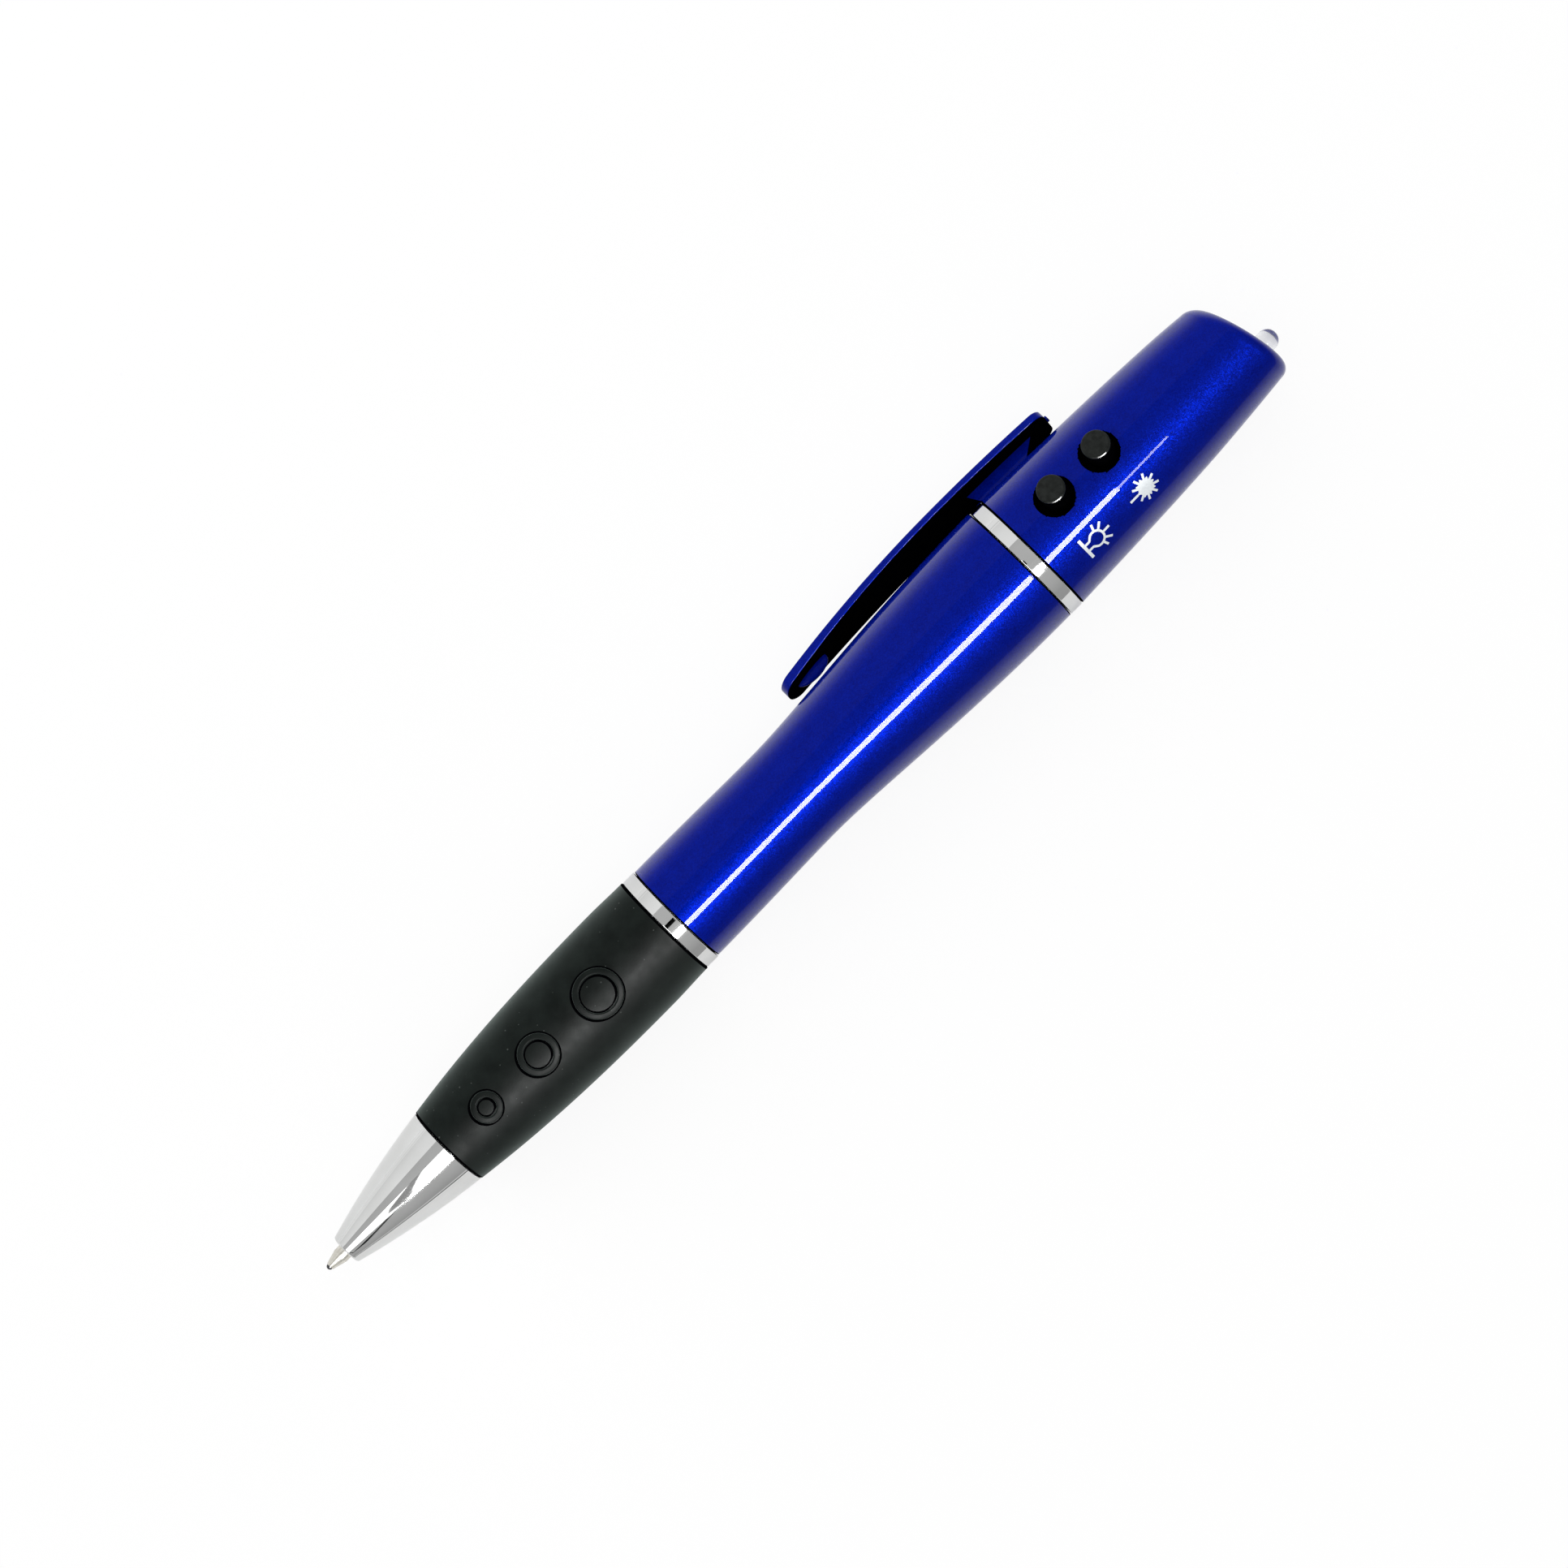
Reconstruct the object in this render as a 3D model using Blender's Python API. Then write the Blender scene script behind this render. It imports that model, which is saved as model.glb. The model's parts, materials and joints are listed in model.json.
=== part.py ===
"""Twist-action ball pen whose head holds a laser pointer, a small lamp and the two push buttons for them.

Units are metres. The pen is drawn in its own frame: X runs from the writing ball to the lamp, the clip
is on the +Z side and the buttons look towards -Y. The pen is then laid on the table, where it comes to
rest on its barrel and on one edge of its clip.
"""
import math

import bmesh
import bpy
from mathutils import Matrix, Vector
from mathutils.geometry import interpolate_bezier

# Clearances
SEAM = 0.0001
FIT = 0.00008
RUN = 0.0001
LOOSE = 0.00025

# Lengths along the pen
TIP_REACH = 0.00295
NOSE_LENGTH = 0.01625
GRIP_LENGTH = 0.0343
RING_WIDTH = 0.00165
BARREL_LENGTH = 0.05435
HEAD_LENGTH = 0.0336
LAMP_REACH = 0.0022

# Outer radii and the stations of the outline
NOSE_TIP_RADIUS = 0.00195
NOSE_EDGE = 0.0003
NOSE_BACK_RADIUS = 0.00512
GRIP_FRONT_RADIUS = 0.00516
GRIP_RADIUS = 0.00682
GRIP_CREST = 0.0287
GRIP_BACK_RADIUS = 0.00669
LOWER_RING_RADIUS = 0.00662
BARREL_FRONT_RADIUS = 0.00653
WAIST_RADIUS = 0.00632
WAIST_PLACE = 0.01855
BARREL_BACK_RADIUS = 0.00796
UPPER_RING_RADIUS = 0.00797
RING_EDGE = 0.00012
HEAD_FRONT_RADIUS = 0.00796
HEAD_END_RADIUS = 0.0064
SHELL_EDGE = 0.00015

# Slanted, domed end of the head
END_ROUNDING = 0.00154
END_ROUNDING_LENGTH = 0.0016
END_DOME = 0.0003
END_SLANT = math.tan(math.radians(13.9))
SLANT_RUN = 0.010
END_WALL = 0.0017

# Slopes of the outline, radius per length
NOSE_FRONT_SLOPE = 0.28
NOSE_BACK_SLOPE = 0.125
GRIP_FRONT_SLOPE = 0.138
HEAD_FRONT_SLOPE = -0.03
HEAD_END_SLOPE = -0.10

# How far each end of an outline's curve keeps its slope, as a share of the curve's length
EVEN_EASE = (1 / 3, 1 / 3)
GRIP_RISE_EASE = (0.3, 0.4)
GRIP_FALL_EASE = (0.4, 0.3)
BARREL_FALL_EASE = (0.5, 0.3)
BARREL_RISE_EASE = (0.2, 0.45)

# Walls
BARREL_WALL = 0.0011
HEAD_WALL = 0.0011
RUBBER_FRONT = 0.0006
RUBBER_BACK = 0.0012

# Raised rings moulded on the grip: place along the sleeve, outer radius
MOTIFS = ((0.0065, 0.00193), (0.0147, 0.0025), (0.0241, 0.003))
MOTIF_WIDTH = 0.00092
MOTIF_RISE = 0.00022
MOTIF_EDGE = 0.00008
MOTIF_SINK = 0.0003
MOTIF_ANGLE = math.radians(114.0)
MOTIF_COLUMNS = 2

# Refill
BALL_RADIUS = 0.00038
BALL_LIP = 0.00006
LIP_SETBACK = 0.000025
TIP_RADIUS = 0.00093
TIP_CONE = 0.00205
TIP_LENGTH = 0.010
TIP_PLUG = 0.003
INK_CHANNEL = 0.0003
REFILL_RADIUS = 0.00117
REFILL_WALL = 0.00032

# Twist mechanism
STROKE = 0.005
TWIST = math.pi
NOSE_LAND = 0.0025
SPIGOT_RADIUS = 0.0037
SPIGOT_LENGTH = 0.006
CORE_BORE = 0.0024
JOURNAL_LENGTH = 0.006
CAM_LEAD = 0.0086
CAM_MARGIN = 0.006
CARRIAGE_WALL = 0.00108
CARRIAGE_SOCKET = 0.0045
CARRIAGE_TAIL = 0.0025
DRIVE_TUBE_WALL = 0.0007
DRIVE_TUBE_SEAT = 0.006
PIN_RADIUS = 0.0006
PIN_SETBACK = 0.003
PIN_SHARE = 2 / 3

# Cells and the screwed joint of the head
CELL_COUNT = 3
CELL_RADIUS = 0.00395
CELL_THICKNESS = 0.0036
CELL_CAP_RADIUS = 0.0031
CELL_CAP_HEIGHT = 0.00045
CELL_PLAY = 0.0002
CELL_RECESS = 0.0004
HOLDER_WALL = 0.0011
HOLDER_FLOOR = 0.0012
SPRING_LENGTH = 0.0053
SPRING_RADIUS = 0.003
SPRING_WIRE = 0.00025
SPRING_TURNS = 5
THREAD_LENGTH = 0.0026
INSERT_WALL = 0.0007
CONTACT_RADIUS = 0.003
CONTACT_THICKNESS = 0.0004
CONTACT_POST = 0.0008

# Buttons and board
BUTTON_ANGLE = math.radians(94.0)
BUTTON_RADIUS = 0.00167
BUTTON_HEIGHT = 0.0022
BUTTON_ROUNDING = 0.00035
BUTTON_GAP = 0.00073
BUTTON_SETBACK = 0.0007
BUTTON_SPACING = 0.00693
BUTTON_LIP = 0.0002
BUTTON_FLANGE = 0.0006
BUTTON_POST = 0.0005
BUTTON_TRAVEL = 0.0005
STEM_RADIUS = 0.0011
STEM_PROUD = 0.001
SWITCH_SIZE = 0.0044
BOARD_THICKNESS = 0.001
BOARD_EDGE = 0.001
RESISTOR_SIZE = (0.0005, 0.00125, 0.002)

# Lamp and laser in the head's end
CARRIER_WALL = 0.001
CARRIER_LENGTH = 0.0055
LAMP_RADIUS = 0.0015
LAMP_FLANGE_RADIUS = 0.0019
LAMP_FLANGE = 0.001
EMITTER_GAP = 0.00025
LEAD_WIDTH = 0.0004
LEAD_LAP = 0.0009
CAN_WALL = 0.00045
DIODE_BASE = 0.0009
DIODE_CAP = 0.0018
DIODE_SHOULDER = 0.00055
LENS_EDGE = 0.0006
LENS_BULGE = 0.0005
LASER_APERTURE = 0.0012

# Clip
CLIP_LOW = 0.08125
CLIP_HIGH = 0.1234
CLIP_CROWN = 0.106
CLIP_RADIUS = 0.0109
CLIP_DROP_LOW = 0.0012
CLIP_DROP_HIGH = 0.00038
CLIP_THICKNESS = 0.00079
CLIP_SWELL_LOW = 0.00038
CLIP_SWELL_HIGH = 0.00013
CLIP_HALF_WIDTH = 0.00343
CLIP_TAPER_LOW = 0.0015
CLIP_TAPER_HIGH = 0.00055
CLIP_CORNER_LOW = 0.0017
CLIP_CORNER_HIGH = 0.0012
CLIP_EDGE = 0.00012
BUMP_PLACE = 0.0041
BUMP_HALF_LENGTH = 0.00235
BUMP_HALF_WIDTH = 0.0013
BUMP_HEIGHT = 0.00115
PIP_RADIUS = 0.0004
PIP_REACH = 0.0003
TAB_THICKNESS = 0.001
TAB_FOOT_START = 0.0005
TAB_FOOT_LENGTH = 0.0064
TAB_FLARE_LOW = 0.0013
TAB_FLARE_HIGH = 0.0028
TONGUE_INSET = 0.0008
TONGUE_DEPTH = 0.0014

# Facets
SHELL_SIDES = 36
INNER_SIDES = 24
SMALL_SIDES = 16
ROUND_STEPS = 5
WELD = 1e-6

# Stations along the pen, worked out from the lengths
NOSE_FRONT = TIP_REACH
NOSE_BACK = NOSE_FRONT + NOSE_LENGTH
GRIP_FRONT = NOSE_BACK + SEAM
GRIP_BACK = GRIP_FRONT + GRIP_LENGTH
LOWER_RING_FRONT = GRIP_BACK + SEAM
LOWER_RING_BACK = LOWER_RING_FRONT + RING_WIDTH
BARREL_FRONT = LOWER_RING_BACK + SEAM
BARREL_BACK = BARREL_FRONT + BARREL_LENGTH
UPPER_RING_FRONT = BARREL_BACK + SEAM
UPPER_RING_BACK = UPPER_RING_FRONT + RING_WIDTH
HEAD_FRONT = UPPER_RING_BACK + SEAM
HEAD_END = HEAD_FRONT + HEAD_LENGTH

# Twist mechanism, from the inside out
BARREL_BORE = WAIST_RADIUS - BARREL_WALL
CARRIAGE_RADIUS = REFILL_RADIUS + CARRIAGE_WALL
DRIVE_BORE = CARRIAGE_RADIUS + RUN
DRIVE_RADIUS = DRIVE_BORE + DRIVE_TUBE_WALL
CAM_BORE = DRIVE_RADIUS + RUN
CAM_RADIUS = BARREL_BORE - FIT
JOURNAL_RADIUS = BARREL_BORE - RUN
JOURNAL_BACK = BARREL_FRONT + JOURNAL_LENGTH
PIN_PLACE = JOURNAL_BACK + CAM_LEAD
REFILL_END = PIN_PLACE - PIN_SETBACK
CAM_FRONT = PIN_PLACE - CAM_MARGIN
CAM_BACK = PIN_PLACE + STROKE + CAM_MARGIN
DRIVE_FRONT = JOURNAL_BACK - DRIVE_TUBE_SEAT

# Cells and screwed joint, from the inside out
HOLDER_BORE = CELL_RADIUS + CELL_PLAY
HOLDER_RADIUS = HOLDER_BORE + HOLDER_WALL
HOLDER_SEAT = HOLDER_RADIUS + FIT
INSERT_BORE = HOLDER_RADIUS + RUN
INSERT_RADIUS = INSERT_BORE + INSERT_WALL
HEAD_BORE = INSERT_RADIUS + FIT
HOLDER_BACK = HEAD_FRONT + THREAD_LENGTH
INSERT_BACK = HOLDER_BACK + CELL_PLAY
CELL_TOP = HOLDER_BACK - CELL_RECESS
CELL_PITCH = CELL_THICKNESS + FIT
CELL_BOTTOM = CELL_TOP - CELL_COUNT * CELL_PITCH
SPRING_BASE = CELL_BOTTOM - SPRING_LENGTH
HOLDER_FRONT = SPRING_BASE - FIT - HOLDER_FLOOR

# Head end, buttons and emitters
END_EDGE = HEAD_END - END_DOME
END_FACE_RADIUS = HEAD_END_RADIUS - END_ROUNDING
ROUND_START = END_EDGE - END_ROUNDING_LENGTH
END_INSIDE = END_EDGE - END_WALL
END_BORE = HEAD_END_RADIUS - HEAD_WALL
HOLE_RADIUS = BUTTON_RADIUS + BUTTON_GAP
FLANGE_RADIUS = HOLE_RADIUS + BUTTON_LIP
LAMP_BUTTON_PLACE = INSERT_BACK + BUTTON_SETBACK + FLANGE_RADIUS
LASER_BUTTON_PLACE = LAMP_BUTTON_PLACE + BUTTON_SPACING
BOARD_FRONT = LAMP_BUTTON_PLACE - SWITCH_SIZE / 2
BOARD_BACK = LASER_BUTTON_PLACE + SWITCH_SIZE / 2 + BOARD_EDGE
CAN_FRONT = BOARD_BACK + LOOSE
CARRIER_FRONT = END_INSIDE - END_SLANT * END_BORE - LOOSE
CARRIER_BACK = CARRIER_FRONT - CARRIER_LENGTH
LAMP_OFFSET = END_BORE - CARRIER_WALL - LAMP_FLANGE_RADIUS
CAN_LOW = LAMP_FLANGE_RADIUS + EMITTER_GAP - LAMP_OFFSET
CAN_HIGH = END_BORE - CARRIER_WALL
CAN_RADIUS = (CAN_HIGH - CAN_LOW) / 2
CAN_OFFSET = (CAN_HIGH + CAN_LOW) / 2
CAN_BORE = CAN_RADIUS - CAN_WALL
LEAD_GAP = BOARD_THICKNESS / 2 + FIT
LAMP_SEAT = HEAD_END - END_DOME * (LAMP_OFFSET / END_FACE_RADIUS) ** 2 + END_SLANT * LAMP_OFFSET
LAMP_TIP = LAMP_SEAT + LAMP_REACH

# Clip foot
TAB_FOOT = HEAD_FRONT + TAB_FOOT_START
TAB_HEEL = TAB_FOOT + TAB_FOOT_LENGTH
TAB_SEAT = HEAD_FRONT_RADIUS + FIT


def clear_scene():
    for item in list(bpy.data.objects):
        bpy.data.objects.remove(item, do_unlink=True)


def finish(name, color, roughness, metallic=0.0, alpha=1.0):
    """Make a piece's own material."""
    material = bpy.data.materials.new(name)
    material.use_nodes = True
    shader = material.node_tree.nodes["Principled BSDF"]
    shader.inputs["Base Color"].default_value = (*color, 1.0)
    shader.inputs["Roughness"].default_value = roughness
    shader.inputs["Metallic"].default_value = metallic
    shader.inputs["Alpha"].default_value = alpha
    material.diffuse_color = (*color, alpha)
    return material


LOOKS = {
    "blue": ((0.012, 0.030, 0.300), 0.22, 0.6),
    "chrome": ((0.80, 0.80, 0.81), 0.08, 1.0),
    "rubber": ((0.018, 0.019, 0.019), 0.75),
    "black": ((0.012, 0.012, 0.013), 0.5),
    "nickel": ((0.62, 0.60, 0.55), 0.25, 1.0),
    "steel": ((0.55, 0.56, 0.58), 0.3, 1.0),
    "brass": ((0.72, 0.52, 0.22), 0.3, 1.0),
    "tungsten": ((0.12, 0.12, 0.13), 0.2, 1.0),
    "grey_plastic": ((0.28, 0.29, 0.30), 0.5),
    "white_plastic": ((0.80, 0.80, 0.78), 0.45),
    "clear_plastic": ((0.90, 0.92, 0.93), 0.2, 0.0, 0.5),
    "glass": ((0.90, 0.94, 0.96), 0.03, 0.0, 0.35),
    "board": ((0.02, 0.16, 0.06), 0.45),
}


def add_empty(name, parent=None, location=(0.0, 0.0, 0.0)):
    empty = bpy.data.objects.new(name, None)
    bpy.context.collection.objects.link(empty)
    empty.parent = parent
    empty.location = location
    return empty


def add_piece(name, shape, look, parent, place=None):
    """Turn a bmesh into a named, smooth-shaded object under its parent."""
    mesh = bpy.data.meshes.new(name)
    shape.to_mesh(mesh)
    shape.free()
    piece = bpy.data.objects.new(name, mesh)
    bpy.context.collection.objects.link(piece)
    piece.parent = parent
    piece.matrix_local = place or Matrix.Identity(4)
    mesh.materials.append(finish(name, *LOOKS[look]))
    mesh.shade_smooth()
    mesh.set_sharp_from_angle(angle=math.radians(35.0))
    return piece


def add_guide(name, shape, parent, place=None):
    """Make a cutter or an addition, which only shapes another piece."""
    guide = add_piece(name, shape, "black", parent, place)
    guide.hide_render = True
    guide.display_type = "WIRE"
    return guide


def combine(piece, guide, operation):
    change = piece.modifiers.new(guide.name, "BOOLEAN")
    change.operation = operation
    change.object = guide


def easy_curve(start, end, ease, slope_start=0.0, slope_end=0.0, steps=8):
    """Points of a smooth outline between two stations, each with its own slope."""
    span = end[0] - start[0]
    lead = ease[0] * span
    trail = ease[1] * span
    handle_start = (start[0] + lead, start[1] + slope_start * lead)
    handle_end = (end[0] - trail, end[1] - slope_end * trail)
    knots = [Vector((*point, 0.0)) for point in (start, handle_start, handle_end, end)]
    return [(point.x, point.y) for point in interpolate_bezier(*knots, steps + 1)]


def corner(station, radius, length, height, steps):
    """Points of a rounded outer edge, from the side of a turned piece round to its end face."""
    turns = [math.pi / 2 * step / steps for step in range(1, steps + 1)]
    return [(station + length * math.sin(turn), radius + height * math.cos(turn)) for turn in turns]


def radius_at(outline, station):
    """Read the radius of an outline at a station."""
    for (low, low_radius), (high, high_radius) in zip(outline, outline[1:]):
        if low <= station <= high:
            share = (station - low) / (high - low)
            return low_radius + share * (high_radius - low_radius)
    return outline[-1][1]


def turned(outline, sides, closed=True):
    """Spin an outline of (station, radius) points about the X axis."""
    shape = bmesh.new()
    points = [shape.verts.new((station, 0.0, radius)) for station, radius in outline]
    edges = [shape.edges.new(pair) for pair in zip(points, points[1:])]
    if closed:
        edges.append(shape.edges.new((points[-1], points[0])))
    bmesh.ops.spin(
        shape, geom=points + edges, cent=(0.0, 0.0, 0.0), axis=(1.0, 0.0, 0.0), dvec=(0.0, 0.0, 0.0),
        angle=math.tau, steps=sides, use_duplicate=False,
    )
    bmesh.ops.remove_doubles(shape, verts=shape.verts, dist=WELD)
    bmesh.ops.recalc_face_normals(shape, faces=shape.faces)
    return shape


def rod(low, high, radius, sides):
    """A plain round bar along X."""
    return turned([(low, 0.0), (low, radius), (high, radius), (high, 0.0)], sides, closed=False)


def tube(low, high, radius, bore, sides):
    return turned([(low, radius), (high, radius), (high, bore), (low, bore)], sides)


def block(x_range, y_range, z_range):
    """A box between the given limits."""
    shape = bmesh.new()
    ranges = (x_range, y_range, z_range)
    size = Matrix.Diagonal((*(high - low for low, high in ranges), 1.0))
    middle = Matrix.Translation([(high + low) / 2 for low, high in ranges])
    bmesh.ops.create_cube(shape, size=1.0, matrix=middle @ size)
    return shape


def plate(outline, y_range):
    """A flat (x, z) outline made into a plate of the given thickness along Y."""
    shape = bmesh.new()
    low, high = y_range
    face = shape.faces.new([shape.verts.new((x, low, z)) for x, z in outline])
    grown = bmesh.ops.extrude_face_region(shape, geom=[face])["geom"]
    moved = [item for item in grown if isinstance(item, bmesh.types.BMVert)]
    bmesh.ops.translate(shape, verts=moved, vec=(0.0, high - low, 0.0))
    bmesh.ops.recalc_face_normals(shape, faces=shape.faces)
    return shape


def lofted(rings, endless=False):
    """Skin a row of rings that all have the same number of points, and close both ends or join them."""
    shape = bmesh.new()
    loops = [[shape.verts.new(point) for point in ring] for ring in rings]
    following_loops = loops[1:]
    if endless:
        following_loops.append(loops[0])
    else:
        shape.faces.new(loops[0])
        shape.faces.new(loops[-1])
    for near, far in zip(loops, following_loops):
        for index in range(len(near)):
            following = (index + 1) % len(near)
            shape.faces.new((near[index], near[following], far[following], far[index]))
    bmesh.ops.recalc_face_normals(shape, faces=shape.faces)
    return shape


def radial_place(station, angle):
    """A frame on the pen's axis: x points outwards, z runs along the pen."""
    outward = Vector((0.0, -math.sin(angle), math.cos(angle)))
    along = Vector((1.0, 0.0, 0.0))
    across = along.cross(outward)
    turn = Matrix((outward, across, along)).transposed().to_4x4()
    return Matrix.Translation((station, 0.0, 0.0)) @ turn


def offset_place(height):
    """A frame parallel to the pen's axis, raised towards the clip."""
    return Matrix.Translation((0.0, 0.0, height))


def build_refill(refill):
    ball = bmesh.new()
    bmesh.ops.create_uvsphere(ball, u_segments=14, v_segments=8, radius=BALL_RADIUS)
    add_piece("writing_ball", ball, "tungsten", refill, Matrix.Translation((BALL_RADIUS, 0.0, 0.0)))

    cup = BALL_RADIUS + BALL_LIP / 2
    lip = BALL_RADIUS + LIP_SETBACK
    plug = REFILL_RADIUS - REFILL_WALL - BALL_LIP
    tip_outline = [
        (lip, cup + BALL_LIP), (TIP_CONE, TIP_RADIUS), (TIP_LENGTH, TIP_RADIUS), (TIP_LENGTH, plug),
        (TIP_LENGTH + TIP_PLUG, plug), (TIP_LENGTH + TIP_PLUG, INK_CHANNEL),
        (2 * BALL_RADIUS + INK_CHANNEL, INK_CHANNEL), (2 * BALL_RADIUS + BALL_LIP, cup), (lip, cup),
    ]
    add_piece("refill_tip", turned(tip_outline, SMALL_SIDES), "nickel", refill)

    bore = REFILL_RADIUS - REFILL_WALL
    add_piece("refill_tube", tube(TIP_LENGTH + SEAM, REFILL_END, REFILL_RADIUS, bore, SMALL_SIDES),
              "clear_plastic", refill)

    socket = REFILL_RADIUS + FIT
    front = REFILL_END - CARRIAGE_SOCKET
    back = PIN_PLACE + CARRIAGE_TAIL
    floor = REFILL_END + SEAM
    carriage_outline = [
        (floor, 0.0), (floor, socket), (front, socket), (front, CARRIAGE_RADIUS),
        (back, CARRIAGE_RADIUS), (back, 0.0),
    ]
    carriage_shape = turned(carriage_outline, INNER_SIDES, closed=False)
    carriage = add_piece("carriage", carriage_shape, "white_plastic", refill)
    pin_foot = CARRIAGE_RADIUS / 2
    pin_top = CAM_BORE + PIN_SHARE * (CAM_RADIUS - CAM_BORE)
    hole = add_guide("pin_hole", rod(pin_foot - FIT, CAM_RADIUS, PIN_RADIUS + FIT, SMALL_SIDES), refill,
                     radial_place(PIN_PLACE, 0.0))
    combine(carriage, hole, "DIFFERENCE")
    add_piece("follower_pin", rod(pin_foot, pin_top, PIN_RADIUS, SMALL_SIDES), "steel", refill,
              radial_place(PIN_PLACE, 0.0))


def nose_outline():
    start = (NOSE_FRONT + NOSE_EDGE, NOSE_TIP_RADIUS)
    end = (NOSE_BACK, NOSE_BACK_RADIUS)
    side = easy_curve(start, end, EVEN_EASE, NOSE_FRONT_SLOPE, NOSE_BACK_SLOPE)
    bore = TIP_RADIUS + RUN
    land = NOSE_FRONT + NOSE_LAND
    spigot_back = NOSE_BACK + SPIGOT_LENGTH
    return [
        (NOSE_FRONT, NOSE_TIP_RADIUS - NOSE_EDGE), *side, (NOSE_BACK, SPIGOT_RADIUS),
        (spigot_back, SPIGOT_RADIUS), (spigot_back, CORE_BORE), (NOSE_BACK, CORE_BORE), (land, bore),
        (NOSE_FRONT, bore),
    ]


def grip_side():
    crest = (GRIP_FRONT + GRIP_CREST, GRIP_RADIUS)
    start = (GRIP_FRONT, GRIP_FRONT_RADIUS)
    end = (GRIP_BACK, GRIP_BACK_RADIUS)
    rise = easy_curve(start, crest, GRIP_RISE_EASE, GRIP_FRONT_SLOPE)
    fall = easy_curve(crest, end, GRIP_FALL_EASE, steps=3)
    return [*rise, *fall[1:]]


def motif_ring(outside, station, angle, radius):
    """Raised ring that wraps over the sleeve: a flat band with sloping sides, sunk into the rubber."""
    inner = radius - MOTIF_WIDTH
    section = [
        (inner - MOTIF_EDGE, -MOTIF_SINK), (inner + MOTIF_EDGE, MOTIF_RISE),
        (radius - MOTIF_EDGE, MOTIF_RISE), (radius + MOTIF_EDGE, -MOTIF_SINK),
    ]
    around = radius_at(outside, station)
    rings = []
    for step in range(SMALL_SIDES):
        turn = math.tau * step / SMALL_SIDES
        ring = []
        for reach, rise in section:
            place = station + reach * math.cos(turn)
            wrap = angle + reach * math.sin(turn) / around
            height = radius_at(outside, place) + rise
            ring.append((place, -height * math.sin(wrap), height * math.cos(wrap)))
        rings.append(ring)
    return lofted(rings, endless=True)


def build_lower_section(lower):
    add_piece("nose_cone", turned(nose_outline(), SHELL_SIDES), "chrome", lower)

    core_front = GRIP_FRONT_RADIUS - RUBBER_FRONT
    core_back = GRIP_BACK_RADIUS - RUBBER_BACK
    socket_end = NOSE_BACK + SPIGOT_LENGTH + SEAM
    socket = SPIGOT_RADIUS + FIT
    drive_seat = DRIVE_RADIUS + FIT
    core_outline = [
        (GRIP_FRONT, core_front), (GRIP_BACK, core_back), (GRIP_BACK, JOURNAL_RADIUS),
        (JOURNAL_BACK, JOURNAL_RADIUS), (JOURNAL_BACK, drive_seat), (DRIVE_FRONT - SEAM, drive_seat),
        (DRIVE_FRONT - SEAM, CORE_BORE), (socket_end, CORE_BORE), (socket_end, socket), (GRIP_FRONT, socket),
    ]
    add_piece("grip_core", turned(core_outline, INNER_SIDES), "grey_plastic", lower)

    outside = grip_side()
    grip = [*outside, (GRIP_BACK, core_back + FIT), (GRIP_FRONT, core_front + FIT)]
    sleeve = add_piece("grip_sleeve", turned(grip, SHELL_SIDES), "rubber", lower)
    for column in range(MOTIF_COLUMNS):
        angle = MOTIF_ANGLE + math.tau * column / MOTIF_COLUMNS
        for row, (place, radius) in enumerate(MOTIFS):
            ring = motif_ring(outside, GRIP_FRONT + place, angle, radius)
            combine(sleeve, add_guide(f"motif_{column + 1}_{row + 1}", ring, lower), "UNION")

    lower_ring = ring_outline(LOWER_RING_FRONT, LOWER_RING_RADIUS, JOURNAL_RADIUS + FIT)
    add_piece("lower_trim_ring", turned(lower_ring, SHELL_SIDES), "chrome", lower)

    drive_tube = add_piece("drive_tube",
                           tube(DRIVE_FRONT, CAM_BACK + SEAM, DRIVE_RADIUS, DRIVE_BORE, INNER_SIDES),
                           "white_plastic", lower)
    slot = add_guide("drive_slot", slot_cutter(PIN_RADIUS + LOOSE), lower)
    combine(drive_tube, slot, "DIFFERENCE")


def slot_cutter(half_width):
    """Round-ended slot in the clip-side wall, as long as the pin's stroke."""
    steps = 8
    ends = []
    for step in range(2 * steps + 2):
        far = step <= steps
        turn = math.pi * ((step if far else step - 1) / steps - 0.5)
        middle = PIN_PLACE + STROKE if far else PIN_PLACE
        ends.append((middle + half_width * math.cos(turn), half_width * math.sin(turn)))
    low = [(x, y, DRIVE_BORE / 2) for x, y in ends]
    high = [(x, y, CAM_RADIUS) for x, y in ends]
    return lofted([low, high])


def cam_cutter():
    """Helical slot that carries the pin back by one stroke over the twist."""
    steps = 24
    lead = STROKE / TWIST
    half_width = (PIN_RADIUS + LOOSE) * math.hypot(1.0, lead / CAM_BORE)
    overrun = (PIN_RADIUS + LOOSE) / CAM_BORE
    inside = DRIVE_RADIUS
    outside = CAM_RADIUS + LOOSE
    rings = []
    for step in range(steps + 1):
        turn = -overrun + (TWIST + 2 * overrun) * step / steps
        middle = PIN_PLACE + lead * turn
        outward = Vector((0.0, -math.sin(turn), math.cos(turn)))
        corners = ((inside, -1), (outside, -1), (outside, 1), (inside, 1))
        rings.append([
            outward * reach + Vector((middle + side * half_width, 0.0, 0.0)) for reach, side in corners
        ])
    return lofted(rings)


def ring_outline(front, radius, bore):
    """Trim ring with both outer edges broken."""
    back = front + RING_WIDTH
    inner = radius - RING_EDGE
    return [
        (front, inner), (front + RING_EDGE, radius), (back - RING_EDGE, radius), (back, inner),
        (back, bore), (front, bore),
    ]


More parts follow.
